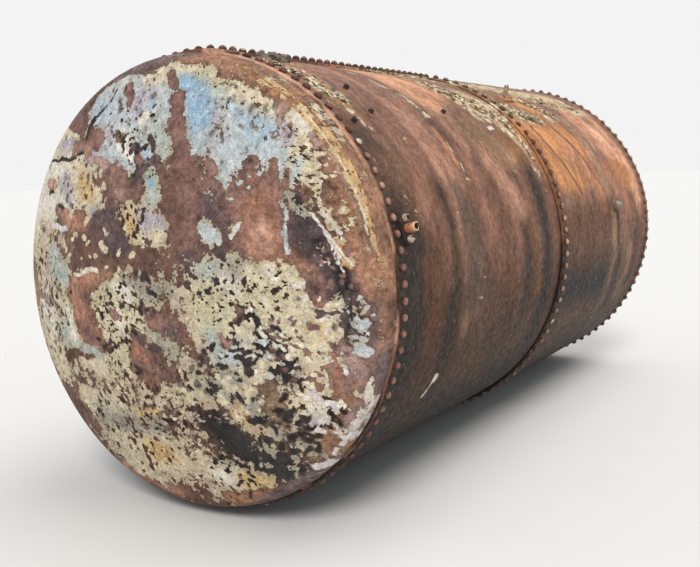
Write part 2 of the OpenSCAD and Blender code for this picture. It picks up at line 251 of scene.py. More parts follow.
# Near head, seen from in front: finish, then two ends and a half width.
# The first number of a place is to the left of the axis and the second is above it.
HEAD_STROKES = [
    # Broad ground of each region
    ("cream", 640, 300, 560, -240, 130), ("cream", 520, 460, 300, 340, 90),
    ("thin", 470, -120, 200, -240, 130), ("thin", 300, -480, -180, -600, 130),
    ("speckled", 120, -60, 60, -160, 110), ("thin", -300, -100, -520, -120, 200),
    ("thin", -260, -300, -430, -400, 120), ("rust", 200, 380, -40, 330, 90),
    ("pale", 180, 560, 20, 560, 130), ("pale_green", -250, 560, -420, 470, 120),
    ("thin", -450, 560, -560, 420, 90), ("speckled", -460, 560, -520, 440, 60),
    ("speckled", -60, -300, -200, -350, 80), ("thin", 60, -330, -120, -400, 70),
    ("thin", 640, 60, 420, 60, 60),
    # Pale blue and grey field at the top
    ("pale", 280, 610, 120, 650, 45), ("pale", 250, 570, 60, 520, 70), ("pale", 120, 470, 50, 420, 48),
    ("pale", 180, 480, 140, 430, 34), ("ivory", 150, 500, 90, 450, 26), ("lilac", 90, 610, 40, 580, 45),
    ("pale_green", 30, 500, -40, 470, 60), ("cream", 70, 680, -20, 690, 26),
    ("ivory", 60, 540, 20, 570, 18), ("aqua", 300, 600, 250, 580, 26), ("aqua", 30, 450, 10, 430, 22),
    ("sky", -95, 650, -190, 560, 42), ("sky", -165, 560, -190, 480, 36), ("aqua", 40, 590, 20, 570, 16),
    ("pale", -200, 470, -170, 450, 24), ("lilac", -240, 520, -260, 460, 26),
    ("pale", -300, 560, -400, 470, 50), ("aqua", -330, 560, -400, 480, 46),
    ("pale", -292, 440, -276, 306, 52), ("pale_green", -336, 410, -340, 336, 26),
    ("pale_green", -270, 370, -250, 320, 30), ("pale", -320, 400, -420, 420, 34),
    ("pale", -395, 410, -400, 372, 24), ("pale", -465, 430, -460, 362, 20),
    ("cream", 60, 706, -200, 690, 22), ("speckled", -160, 680, -330, 640, 30),
    ("cream", -290, 620, -410, 570, 34), ("cream", -480, 560, -530, 450, 40),
    ("ivory", -470, 570, -520, 500, 20), ("pink", -430, 560, -450, 480, 26),
    ("lilac", -450, 500, -470, 470, 22), ("cream", -530, 450, -570, 380, 30),
    ("speckled", -560, 400, -600, 300, 40), ("ochre", -620, 330, -660, 180, 44),
    ("cream", -640, 260, -650, 200, 20), ("pale", -515, 400, -508, 330, 12),
    # Upper left
    ("cream", 540, 490, 430, 520, 42), ("lilac", 500, 470, 440, 480, 22),
    ("ivory", 630, 380, 340, 384, 50), ("ivory", 690, 240, 520, 280, 62),
    ("ivory", 440, 300, 380, 300, 40), ("lilac", 430, 350, 380, 330, 44),
    ("cream", 330, 390, 250, 300, 66), ("ochre", 300, 350, 270, 320, 34),
    ("lilac", 290, 430, 180, 440, 30), ("lilac", 240, 500, 190, 480, 30),
    ("brick", 480, 565, 370, 530, 26), ("brick", 290, 505, 245, 480, 32), ("rose", 400, 470, 300, 450, 22),
    ("pink", 280, 420, 200, 410, 18), ("dark", 565, 424, 450, 436, 7), ("dark", 450, 436, 330, 440, 6),
    # The black stroke at 555, 308 under the salmon islet is painted shadow
    ("salmon", 570, 345, 515, 330, 20), ("black", 555, 308, 520, 306, 7), ("rose", 460, 252, 400, 250, 20),
    ("black", 460, 268, 420, 266, 5), ("orange", 380, 225, 280, 222, 26), ("white", 500, 205, 400, 200, 8),
    ("thin", 600, 200, 450, 160, 28), ("lilac", 230, 260, 190, 240, 30),
    # Bare patches of the middle and left
    ("brick", 150, 366, 104, 300, 54), ("pale", 200, 458, 60, 424, 26), ("ivory", 150, 470, 90, 440, 16),
    ("rose", 150, 360, 120, 320, 34), ("purple", 40, 370, -20, 400, 36),
    ("purple", 220, 240, 130, 250, 36), ("purple", 160, 190, 90, 150, 40),
    ("speckled", 70, 260, 20, 200, 40), ("ochre", 60, 240, 40, 210, 30), ("black", 10, 285, -10, 265, 11),
    ("thin", 0, 290, 20, 260, 20), ("lilac", -20, 240, -60, 200, 36), ("cream", -50, 190, -70, 180, 24),
    # The short black stroke at 75, 375 is painted shadow under the lower edge of the upper paint field
    ("pale_green", -10, 350, -40, 300, 34), ("sky", -5, 345, -25, 330, 12), ("black", 75, 375, 55, 372, 7),
    ("purple", 80, 462, 60, 450, 15), ("purple", 10, 480, -10, 465, 13), ("brick", 55, 430, 45, 420, 17),
    ("brick", 165, 640, 140, 605, 24), ("brick", -25, 690, -60, 640, 16),
    ("dark", -62, 607, -100, 604, 13), ("brick", -78, 592, -92, 500, 29),
    ("brick", -95, 510, -140, 430, 26), ("brick", -160, 420, -200, 400, 30),
    ("rose", -230, 400, -250, 380, 18), ("lilac", -205, 350, -215, 330, 20),
    ("dark", 215, 650, 262, 586, 5), ("dark", 262, 586, 300, 552, 6), ("black", 296, 556, 312, 538, 11),
    ("dark", 318, 530, 336, 492, 7), ("grey_brown", 160, 510, 150, 490, 12),
    # Bare field right of the middle
    ("brick", -200, 320, -230, 140, 60), ("purple", -270, 260, -300, 130, 56),
    ("dark", -290, 270, -330, 240, 18), ("brick", -372, 400, -372, 330, 20),
    ("brick", -372, 300, -400, 160, 78), ("orange", -410, 260, -440, 120, 52),
    ("salmon", -420, 190, -430, 150, 22), ("brick", -442, 398, -440, 350, 11),
    ("brick", -482, 372, -478, 330, 10), ("orange", -450, 100, -600, 20, 44),
    ("brick", -480, 60, -620, 0, 30), ("purple", -180, 120, -210, 20, 28),
    ("purple", -530, 240, -600, 100, 46), ("dark", -545, 230, -640, 40, 22),
    ("purple", -590, 140, -660, 20, 34), ("rose", -610, 110, -640, 60, 15),
    ("scale", -525, 275, -545, 262, 30), ("pale_green", -500, 300, -485, 270, 10),
    ("grey_brown", -515, 258, -548, 250, 17), ("pale", -494, 285, -500, 130, 7),
    ("pale", -228, 200, -262, 182, 24), ("thin", -590, 430, -640, 270, 40),
    ("ochre", -620, 400, -655, 290, 24), ("orange", -690, 300, -706, 60, 34),
    ("purple", -545, 230, -635, 40, 34), ("black", -580, 170, -640, 30, 14),
    ("olive_speck", -492, 300, -536, 254, 26), ("sooty", -520, 290, -548, 250, 14),
    ("thin", -650, 290, -690, 110, 32), ("thin", -570, -140, -640, -310, 44),
    ("cream", -590, -130, -640, -250, 14), ("pale", -500, -350, -590, -400, 28),
    ("streak", -560, -380, -610, -440, 22), ("pink", -660, -150, -670, -250, 30),
    ("orange", -600, -280, -650, -340, 18), ("black", -372, -40, -440, -240, 20),
    ("sooty", -400, -60, -470, -250, 34), ("white", -326, 180, -340, 200, 6),
    ("white", -340, 200, -356, 216, 4), ("gold", -640, 150, -650, 100, 16),
    # Band across the middle right
    ("pale_green", -240, 90, -300, 40, 44), ("ivory", -290, 60, -320, 20, 28),
    ("olive_speck", -330, 90, -390, 60, 40), ("cream", -390, 60, -470, 60, 42),
    ("cream", -430, 100, -450, 80, 17), ("speckled", -230, 10, -330, -40, 50),
    ("speckled", -400, 20, -500, -10, 44), ("ivory", -440, 90, -460, 60, 9),
    # Left of the middle
    ("pale_green", 520, 50, 400, 30, 32), ("orange", 350, 25, 170, 45, 24), ("ivory", 340, 58, 215, 62, 8),
    ("purple", 385, 50, 368, 20, 13), ("olive_speck", 60, 30, -80, 20, 48),
    ("speckled", 180, -20, 60, -50, 60), ("cream", 190, -120, 90, -110, 54),
    ("ivory", 130, -60, 100, -110, 18), ("pale_green", 510, 110, 420, 60, 34),
    ("ivory", 120, 30, 70, 0, 24), ("speckled", 220, -220, 110, -220, 34),
    ("pale_green", 330, -205, 250, -225, 24), ("olive_speck", -40, -130, -90, -170, 40),
    ("rose", 150, -60, 135, -68, 16), ("brick", 40, -145, -20, -190, 34),
    ("orange", 40, -200, 20, -250, 40), ("brick", 60, -240, -70, -250, 28),
    ("purple", 30, -140, -40, -170, 14), ("purple", -60, -80, -110, -110, 26),
    ("brick", -20, -80, -100, -80, 20), ("orange", 355, -20, 330, -90, 44),
    ("orange", 320, -70, 250, -160, 46), ("brick", 300, -150, 235, -185, 26),
    ("dark", 385, -20, 370, -10, 6), ("cream", 630, -60, 550, -200, 90),
    ("ivory", 610, -80, 560, -150, 34), ("cream", 480, -40, 430, -100, 34),
    ("rim_orange", 690, 40, 690, -80, 26), ("pink", 640, -40, 600, -60, 14),
    ("pale_green", 470, -150, 400, -210, 36), ("ivory", 420, -100, 400, -170, 24),
    ("brown", 470, -262, 375, -238, 24), ("brown", 330, -235, 300, -235, 12),
    ("cream", 350, -260, 240, -270, 24),
    # Right of the middle, below the band
    ("speckled", -250, -60, -300, -210, 62), ("pale_green", -250, -130, -280, -200, 30),
    ("brick", -345, -30, -340, -60, 18), ("rose", -290, -132, -330, -140, 21),
    ("pale", -330, -190, -290, -180, 18), ("speckled", -420, -70, -520, -110, 54),
    ("cream", -500, -60, -600, -70, 34), ("ochre", -540, -110, -580, -100, 24),
    ("cream", -480, -100, -570, -180, 50), ("cream", -480, -270, -560, -290, 40),
    ("ivory", -500, -275, -515, -255, 13), ("orange", -600, -170, -620, -260, 20),
    ("pink", -650, -200, -620, -300, 20), ("rim_orange", -600, -300, -660, -330, 26),
    ("sooty", -375, -40, -395, -90, 24), ("black", -380, -60, -400, -100, 13),
    ("black", -385, -140, -400, -170, 24), ("sooty", -420, -130, -460, -150, 22),
    ("black", -440, -145, -460, -156, 12), ("sooty", -385, -110, -410, -220, 34),
    ("sooty", -420, -210, -470, -250, 46), ("black", -430, -240, -470, -205, 20),
    ("dark", -640, 80, -660, 0, 17), ("sooty", -650, 0, -680, -110, 30),
    ("pale", -705, -80, -725, -100, 17), ("pale", -690, -145, -705, -150, 12),
    # Lower right
    ("olive_speck", -230, -240, -340, -310, 58), ("sooty", -230, -290, -340, -310, 30),
    ("olive_speck", -300, -340, -400, -370, 44), ("gold", -190, -350, -185, -410, 24),
    ("gold", -300, -370, -330, -430, 30), ("ochre", -330, -400, -340, -440, 20),
    ("grey_brown", -420, -300, -440, -400, 40), ("crust", -460, -340, -560, -400, 50),
    ("streak", -540, -290, -590, -330, 13), ("white", -575, -310, -590, -325, 8),
    ("white", -530, -330, -545, -350, 6), ("cream", -500, -360, -580, -380, 34),
    ("lilac", -520, -400, -600, -430, 40), ("olive_speck", -430, -430, -520, -470, 36),
    ("cream", -452, -476, -470, -474, 13), ("sooty", -190, -400, -430, -560, 62),
    ("black", -200, -405, -260, -470, 30), ("black", -260, -470, -340, -520, 40),
    ("black", -340, -520, -430, -570, 34), ("sooty", -180, -540, -250, -550, 24),
    ("sooty", -400, -520, -470, -560, 26), ("white", -494, -532, -524, -524, 13),
    ("cream", -130, -570, -300, -625, 40), ("ivory", -150, -580, -200, -600, 26),
    ("ochre", -250, -600, -330, -590, 30), ("rim_orange", -180, -680, -330, -640, 26),
    ("rim_orange", -560, -470, -640, -350, 32), ("pink", -620, -400, -650, -330, 18),
    # The ivory and streak lines from -733, -120 to -551, -499 are painted highlight along the edge of the
    # dish
    ("ivory", -733, -120, -706, -232, 7), ("ivory", -706, -232, -674, -314, 8),
    ("streak", -674, -314, -624, -404, 8), ("streak", -624, -404, -551, -499, 4),
    ("pink", -600, -190, -590, -260, 6), ("streak", -640, -160, -630, -240, 4),
    # Bottom left
    # The olive-speckled band is the cream paint drawn darker, in part painted shadow cast across the head
    ("cream", 420, -400, 200, -390, 40), ("olive_speck", 330, -450, 40, -440, 50),
    ("ochre", 110, -395, 0, -392, 17), ("rust", 560, -400, 430, -500, 40),
    ("cream", 260, -570, 20, -560, 62), ("ochre", 120, -540, 30, -540, 32),
    ("brown", 152, -540, 150, -640, 12), ("thin", 380, -560, 300, -580, 40),
    ("rim_orange", 330, -650, 60, -700, 24), ("cream", 220, -650, 120, -670, 22),
    # Rim
    ("rim_purple", 470, 600, 300, 690, 26), ("rim_purple", 300, 700, -80, 745, 26),
    ("rim_orange", -40, 728, -200, 712, 10), ("rim_orange", -120, 735, -480, 590, 26),
    ("pink", -540, 470, -600, 380, 14), ("rim_orange", -610, 400, -720, 130, 40),
    ("honey", -676, 250, -690, 120, 14), ("rim_orange", -690, 160, -740, 20, 30),
    ("rim_purple", -745, -40, -700, -300, 14), ("rim_purple", -560, -520, -200, -735, 20),
]

# Scratches on the near head: straight and thin, laid last
HEAD_SCRATCHES = [
    ("white", -556, 246, -668, 96, 3.1), ("white", -564, 236, -600, 186, 2.6),
    ("streak", -578, 262, -662, 148, 3.2), ("streak", -540, 330, -592, 268, 2.8),
    ("streak", -556, 352, -604, 290, 2.6), ("streak", -590, 196, -640, 112, 2.8),
    ("streak", -618, 128, -650, 70, 2.8), ("streak", -604, 108, -622, 70, 2.6),
]

# Lines that run round the knuckle: finish, radius, from and to in degrees, half width. The orange band and
# its gold, cream and pink lines are partly rust and streaks and partly painted highlight along the
# knuckle's curve.
HEAD_ARCS = [
    ("rim_orange", 736, 96, 178, 13), ("gold", 727, 112, 160, 4), ("cream", 733, 126, 172, 2.5),
    ("gold", 741, 104, 176, 3), ("gold", 747, 130, 168, 2), ("pink", 720, 138, 170, 4),
    ("rim_orange", 744, 178, 196, 8),
]

# Small marks strewn over a round patch: finish, middle, reach, number of marks, half width of a mark
HEAD_SCATTER = [
    ("black", 480, -70, 80, 36, 6), ("dark", 120, -70, 110, 64, 6), ("black", 20, 10, 90, 36, 7),
    ("dark", 150, -200, 90, 36, 6), ("black", -290, 50, 90, 36, 6), ("dark", -430, 30, 90, 34, 5),
    ("black", -400, -140, 110, 56, 9), ("pale", -410, -170, 90, 26, 7), ("cream", -420, -120, 130, 34, 9),
    ("black", -280, -230, 100, 42, 7), ("cream", -560, -100, 110, 36, 10),
    ("brick", -540, -150, 120, 34, 7), ("smut", -540, -120, 140, 40, 6), ("ivory", -480, -100, 150, 30, 7),
    ("purple", -660, -60, 90, 26, 8), ("pale", -670, -60, 70, 16, 6), ("ivory", -560, -350, 80, 30, 7),
    ("dark", -520, -360, 100, 50, 8), ("black", -430, -430, 100, 42, 9),
    ("olive_speck", -380, -540, 90, 20, 7), ("black", -200, -590, 90, 36, 6),
    ("cream", -320, -300, 90, 24, 9), ("dark", 80, -440, 140, 64, 6), ("dark", 260, -450, 120, 42, 6),
    ("brown", 140, -580, 120, 31, 6), ("dark", 560, 20, 90, 28, 5), ("dark", 560, -200, 90, 20, 6),
    ("smut", 560, -120, 140, 40, 9), ("pink", 600, -60, 110, 20, 8), ("smut", -60, -340, 150, 30, 9),
    ("dark", -60, -340, 150, 42, 6), ("smut", 380, 350, 130, 26, 7), ("brown", 320, 340, 90, 20, 5),
    ("smut", 560, 480, 90, 14, 7), ("smut", 140, 560, 130, 26, 7), ("dark", 60, 480, 90, 36, 5),
    ("dark", 120, 570, 130, 20, 4), ("black", 40, 400, 70, 20, 6), ("smut", -100, 690, 120, 20, 5),
    ("smut", -330, 620, 120, 44, 6), ("brown", -330, 620, 120, 25, 4), ("smut", -330, 500, 120, 26, 5),
    ("dark", -330, 490, 120, 20, 3.5), ("rose", -500, 500, 90, 30, 5), ("dark", -500, 480, 90, 28, 3.5),
    ("dark", -530, 380, 60, 36, 4), ("cream", -590, 360, 50, 24, 6), ("brown", -585, 290, 50, 44, 4.5),
    ("cream", -650, 230, 50, 20, 5), ("dark", 40, 230, 60, 28, 6), ("cream", 320, 150, 100, 14, 8),
    ("cream", 130, 130, 90, 14, 8), ("rose", -620, 80, 70, 18, 6), ("white", -600, 90, 60, 14, 1.2),
    ("pale", -360, 330, 60, 6, 6), ("streak", -640, -250, 60, 14, 4), ("orange", -620, -240, 70, 22, 7),
]


# Mesh helpers

def grid_quads(rows, cols, closed=False):
    i = np.arange(rows - 1)[:, None]
    j = np.arange(cols if closed else cols - 1)[None, :]
    nxt = (j + 1) % cols
    quads = np.stack([i * cols + j, i * cols + nxt, (i + 1) * cols + nxt, (i + 1) * cols + j], axis=-1)
    return quads.reshape(-1, 4)


def grid_border(rows, cols):
    """Indices of a grid's border, once round."""
    grid = np.arange(rows * cols).reshape(rows, cols)
    return np.concatenate([grid[0], grid[1:, -1], grid[-1, -2::-1], grid[-2:0:-1, 0]])


def bridge(one, other):
    """Quads between two rings of indices."""
    return np.stack([one, np.roll(one, -1), np.roll(other, -1), other], axis=-1)


def capped(rings, sides, pointed=True):
    """Faces of stacked rings with a face below and, above, a fan to one last point or a face."""
    walls = [tuple(f) for f in grid_quads(rings, sides, closed=True)]
    below = tuple(range(sides - 1, -1, -1))
    top = [(rings - 1) * sides + i for i in range(sides)]
    if not pointed:
        return walls + [below, tuple(top)]
    return walls + [(p, q, rings * sides) for p, q in zip(top, top[1:] + top[:1])] + [below]


def joined(parts):
    """Parts, each its points and faces, as one mesh."""
    faces, base = [], 0
    for part_verts, part_faces in parts:
        faces += [tuple(i + base for i in f) for f in part_faces]
        base += len(part_verts)
    return np.vstack([part[0] for part in parts]), faces


def on_circle(x, deg, r):
    a = np.radians(deg)
    return np.column_stack([x, -r * np.cos(a), AXIS_Z + r * np.sin(a)])


def stand(local, x, deg, r, tilt=0.0):
    """Points (along, around, outward) of a small thing, tilted in its section and stood on the shell."""
    a, b, h = np.asarray(local).T
    c, s = math.cos(math.radians(tilt)), math.sin(math.radians(tilt))
    b, h = b * c - h * s, b * s + h * c + r
    c, s = math.cos(math.radians(90 - deg)), math.sin(math.radians(90 - deg))
    return np.column_stack([x + a, b * c - h * s, AXIS_Z + b * s + h * c])


def link(name, data):
    obj = bpy.data.objects.new(name, data)
    bpy.context.scene.collection.objects.link(obj)
    return obj


def add_piece(name, verts, faces, material, nodes=(), sharp=40):
    mesh = bpy.data.meshes.new(name)
    mesh.from_pydata(np.asarray(verts, dtype=float).tolist(), [], [list(map(int, f)) for f in faces])
    mesh.update()
    mesh.materials.append(material)
    mesh.shade_smooth()
    mesh.set_sharp_from_angle(angle=math.radians(sharp))
    obj = link(name, mesh)
    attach(obj, "root")
    if nodes:
        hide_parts(*nodes)
    return obj


def set_finish(obj, paint, cover, metal, specks):
    """Stores each point's paint with its cover, and its metal with its specks."""
    for name, rgb, alpha in (("paint", paint, cover), ("metal", metal, specks)):
        data = np.empty((len(obj.data.vertices), 4), dtype=np.float32)
        data[:, :3], data[:, 3] = rgb, alpha
        attribute = obj.data.attributes.new(name, "FLOAT_COLOR", "POINT")
        attribute.data.foreach_set("color", data.ravel())


# Materials

class Shader:
    """Short names for the nodes of a material or of the world."""

    def __init__(self, owner):
        owner.use_nodes = True
        self.tree = owner.node_tree
        self.place = self.new("TexCoord").outputs["Object"]

    def new(self, kind):
        return self.tree.nodes.new("ShaderNode" + kind)

    def fill(self, node, inputs):
        """Links each input to another node's socket, or sets it to a value."""
        for name, value in inputs.items():
            if isinstance(value, bpy.types.NodeSocket):
                self.tree.links.new(value, node.inputs[name])
            else:
                node.inputs[name].default_value = value
        return node

    def maths(self, operation, a, b=0.0, clamp=False):
        node = self.new("Math")
        node.operation = operation
        node.use_clamp = clamp
        return self.fill(node, {0: a, 1: b}).outputs[0]

    def add(self, *terms):
        total = terms[0]
        for term in terms[1:]:
            total = self.maths("ADD", total, term)
        return total

    def times(self, a, b):
        return self.maths("MULTIPLY", a, b)

    def centred(self, value, amount):
        return self.times(self.maths("SUBTRACT", value, 0.5), amount)

    def stretched(self, stretch, shift):
        inputs = {"Vector": self.place, "Scale": stretch, "Location": (shift, shift, shift)}
        return self.fill(self.new("Mapping"), inputs).outputs[0]

    def noise(self, scale, detail=5.0, rough=0.6, stretch=FLAT, shift=0.0, twist=0.0):
        inputs = {"Vector": self.stretched(stretch, shift), "Scale": scale, "Detail": detail,
                  "Roughness": rough, "Distortion": twist}
        return self.fill(self.new("TexNoise"), inputs).outputs[0]

    def cells(self, scale, shift, wander, feature="F1"):
        """Cells with edges that wander."""
        warp = self.fill(self.new("TexNoise"), {"Vector": self.place, "Scale": scale * 1.3, "Detail": 4.0})
        bent = self.new("VectorMath")
        bent.operation = "MULTIPLY_ADD"
        self.fill(bent, {0: warp.outputs["Color"], 1: (wander, wander, wander),
                         2: self.stretched(FLAT, shift)})
        node = self.new("TexVoronoi")
        node.feature = feature
        return self.fill(node, {"Vector": bent.outputs[0], "Scale": scale})

    def red(self, colour):
        return self.fill(self.new("SeparateColor"), {0: colour}).outputs[0]

    def step(self, low, high, value):
        node = self.new("MapRange")
        node.interpolation_type = "SMOOTHSTEP"
        return self.fill(node, {"Value": value, "From Min": low, "From Max": high}).outputs["Result"]

    def fall(self, low, high, value):
        return self.maths("SUBTRACT", 1.0, self.step(low, high, value))

    def patches(self, low, high, *noise, **more):
        """Where a noise rises from low to high."""
        return self.step(low, high, self.noise(*noise, **more))

    def mix(self, amount, a, b, kind="MIX"):
        node = self.new("Mix")
        node.data_type = "RGBA"
        node.blend_type = kind
        a, b = (c if isinstance(c, bpy.types.NodeSocket) else (*c, 1.0) for c in (a, b))
        return self.fill(node, {0: amount, 6: a, 7: b}).outputs[2]

    def tint(self, colour, by, amount=1.0):
        """The colour multiplied by another, in the given amount."""
        return self.mix(amount, colour, by, "MULTIPLY")

    def attribute(self, name):
        node = self.new("Attribute")
        node.attribute_name = name
        return node.outputs["Color"], node.outputs["Alpha"]


# Tints that a colour is multiplied by
DARK = (0.30, 0.27, 0.27)
SHADE = (0.52, 0.46, 0.44)
WARM = (1.34, 1.02, 0.74)
COOL = (0.80, 0.80, 0.88)

# Stains of the shell: step, noise (scale, detail, roughness, stretch, shift), amount, tint
STAINS = [
    ((0.42, 0.68), (1.0, 3.0, 0.55, (26.0, 4.4, 4.4), 4.0), 0.9, (0.60, 0.54, 0.48)),
    ((0.46, 0.70), (1.0, 3.0, 0.55, (30.0, 5.0, 5.0), 14.0), 0.8, (1.40, 1.28, 1.10)),
    ((0.44, 0.62), (9.0, 7.0, 0.68, (1, 0.6, 0.6), 81.0), 1.3, (0.62, 0.56, 0.52)),
    ((0.48, 0.62), (58.0, 6.0, 0.76, FLAT, 61.0), 1.1, (0.66, 0.56, 0.48)),
    ((0.54, 0.68), (34.0, 6.0, 0.74, FLAT, 91.0), 1.4, (1.46, 1.28, 1.06)),
]


def weathered(name, flake=26.0, jitter=0.55, streaks=0.0, grain=1.0, dull=0.70, run=1.0,
              relief=0.005, contrast=1.0, warmth=0.4):
    """Rusted metal under what is left of its paint, as the piece's own attributes say."""
    material = bpy.data.materials.new(name)
    s = Shader(material)
    paint, cover = s.attribute("paint")
    metal, specks = s.attribute("metal")
    broad = s.noise(flake, 7.0, 0.62, twist=0.3)
    fine = s.noise(flake * 4.3, 6.0, 0.7, shift=3.1)
    chip = s.red(s.cells(flake * 1.5, 1.7, 0.012).outputs["Color"])
    spots = s.cells(88.0, 5.3, 0.006)
    spot_edge = s.times(s.maths("POWER", s.red(spots.outputs["Color"]), 2.0), 0.5)
    spot = s.fall(s.maths("SUBTRACT", spot_edge, 0.09), spot_edge, spots.outputs["Distance"])
    pit = s.times(spot, specks)
    patch = s.noise(flake * 0.42, shift=6.4)
    level = s.add(cover, s.centred(patch, jitter * 1.3), s.centred(broad, jitter * 2.0),
                  s.centred(fine, jitter * 1.4), s.centred(chip, jitter * 0.8), s.times(pit, -0.8))
    mask = s.step(0.48, 0.515, level)

    # Metal: broad tone, dark scale, warm rust bloom, fine grain
    lay = (1, run, run)
    tone = s.patches(0.38, 0.62, 7.0, 5.0, 0.6, lay, 9.0)
    dark = s.patches(0.54, 0.64, 31.0, 6.0, 0.68, lay, 12.0)
    warm = s.patches(0.54, 0.70, 19.0, 6.0, 0.66, lay, 21.0)
    pores = s.patches(0.50, 0.72, 240.0, 3.0, shift=2.0)
    mottle = s.patches(0.40, 0.60, 46.0, 6.0, 0.7, lay, 27.0)
    cool = s.patches(0.52, 0.66, 13.0, 6.0, 0.66, shift=71.0)
    low, high = (1 - 0.27 * contrast,) * 3, (1 + 0.20 * contrast,) * 3
    body = s.tint(metal, s.mix(tone, low, high))
    body = s.tint(body, s.mix(mottle, low, high))
    body = s.tint(body, WARM, s.times(warm, warmth))
    body = s.tint(body, COOL, s.times(cool, 0.7 * contrast ** 2))
    body = s.tint(body, DARK, s.times(dark, 0.55 * contrast))
    body = s.tint(body, DARK, s.times(pores, 0.45 * grain))
    if streaks:
        for ends, noise, amount, colour in STAINS:
            body = s.tint(body, colour, s.times(s.patches(*ends, *noise), amount * streaks))
        fleck = s.patches(0.61, 0.68, 98.0, 5.0, 0.72, (1, 0.8, 0.8), 65.0)
        body = s.mix(s.times(fleck, 0.9 * streaks), body, srgb(204, 176, 148))
    # Painted shadow, with some stain, on the bare metal just outside the paint's edges
    body = s.tint(body, SHADE, s.times(s.step(0.425, 0.485, level), 0.85))
    # Pits drawn darker: partly deep rust, partly painted shade in the hollow
    body = s.tint(body, DARK, s.times(pit, 0.7))

    # Paint: chalky tone, stains next to its edges, a pale broken lip that is partly a painted highlight on
    # the lifted edge
    chalk = s.patches(0.38, 0.66, 38.0, 6.0, 0.66, shift=31.0)
    coat = s.tint(paint, s.mix(chalk, (0.82, 0.80, 0.77), (1.10, 1.10, 1.08)))
    chatter = s.patches(0.40, 0.62, 120.0, 5.0, 0.7, shift=34.0)
    coat = s.tint(coat, s.mix(chatter, (0.84, 0.82, 0.80), (1.08, 1.08, 1.08)))
    smudge = s.patches(0.52, 0.66, 17.0, 6.0, 0.66, shift=44.0)
    coat = s.tint(coat, (0.76, 0.78, 0.80), s.times(smudge, 0.7))
    bleach = s.patches(0.56, 0.70, 23.0, 6.0, 0.66, shift=51.0)
    coat = s.mix(s.times(bleach, 0.6), coat, srgb(232, 226, 210))
    under = s.times(s.fall(0.56, 0.66, level), s.patches(0.42, 0.56, 52.0, 4.0, shift=41.0))
    coat = s.mix(s.times(under, 0.6), coat, srgb(208, 190, 142))
    coat = s.tint(coat, (0.70, 0.56, 0.46), s.times(s.fall(0.50, 0.74, level), 0.5))
    # Pale lip at the paint's edge: partly chipped paint, partly painted highlight
    pale_lip_and_highlight = s.times(s.step(0.50, 0.52, level), s.fall(0.53, 0.56, level))
    coat = s.mix(s.times(pale_lip_and_highlight, 0.45), coat, srgb(226, 216, 194))
    crack_at = s.cells(31.0, 7.0, 0.02, "DISTANCE_TO_EDGE").outputs["Distance"]
    crack = s.times(s.fall(0.0, 0.035, crack_at), s.step(0.46, 0.60, broad))
    coat = s.mix(s.times(crack, 0.6), coat, srgb(96, 74, 62))

    height = s.add(mask, s.times(fine, 0.7 * grain), s.times(broad, 0.8),
                   s.times(pit, -0.5), s.times(pores, -0.25 * grain))
    bump = s.fill(s.new("Bump"), {"Strength": 1.0, "Distance": relief, "Height": height})
    rough = s.add(dull, s.centred(fine, 0.2))
    s.fill(s.tree.nodes["Principled BSDF"], {
        "Base Color": s.mix(mask, body, coat),
        "Specular IOR Level": 0.22,
        "Roughness": s.maths("ADD", s.centred(mottle, -0.2), rough, clamp=True),
        "Normal": bump.outputs[0],
    })
    return material


SKIN = weathered("flaking_paint")
SHELL = weathered("rusted_shell", flake=24.0, jitter=0.5, streaks=0.5, dull=0.60, run=0.9,
                  relief=0.003, contrast=0.62, warmth=0.35)
IRON = weathered("rusted_iron", flake=40.0, jitter=0.5, grain=1.2, relief=0.003)


# Dished heads

def crown_drop(head_r):
    """How far the crown's centre lies behind the circle where the straight flange begins."""
    return math.sqrt((CROWN_R - KNUCKLE_R) ** 2 - (head_r - KNUCKLE_R) ** 2)


HEAD_STRAIGHT = (low_corner("near_course", 0) - low_corner("near_head", 0)
                 - (CROWN_R - crown_drop(NEAR_HEAD_R)))


def head_profile(head_r, count=900):
    """Share of the way along the plate from its middle, radius, depth, and lean of the plate there."""
    drop = crown_drop(head_r)
    meet = math.atan2(head_r - KNUCKLE_R, drop)
    crown_len = CROWN_R * meet
    knuckle_len = KNUCKLE_R * (math.pi / 2 - meet)
    whole = crown_len + knuckle_len + EDGE * 2 + HEAD_STRAIGHT
    s = np.linspace(0, whole, count)
    a = np.minimum(s / CROWN_R, meet)
    b = meet + np.clip((s - crown_len) / KNUCKLE_R, 0, math.pi / 2 - meet)
    past = np.clip(s - crown_len - knuckle_len, 0, None)
    in_crown = s < crown_len
    r = np.where(in_crown, CROWN_R * np.sin(a), head_r - KNUCKLE_R + KNUCKLE_R * np.sin(b))
    z = np.where(in_crown, CROWN_R * np.cos(a) - drop, KNUCKLE_R * np.cos(b) - past)
    return s / whole, r, z, np.where(in_crown, a, b)


def square_to_disc(n):
    """A square grid drawn out to a disc: share of the radius and angle at each grid point."""
    a, b = (grid.ravel() for grid in np.meshgrid(np.linspace(-1, 1, n + 1), np.linspace(-1, 1, n + 1)))
    wide = np.abs(a) > np.abs(b)
    safe_a = np.where(a == 0, 1e-9, a)
    safe_b = np.where(b == 0, 1e-9, b)
    rho = np.where(wide, a, b)
    phi = np.where(wide, math.pi / 4 * b / safe_a, math.pi / 2 - math.pi / 4 * a / safe_b)
    return np.abs(rho), np.where(rho < 0, phi + math.pi, phi)


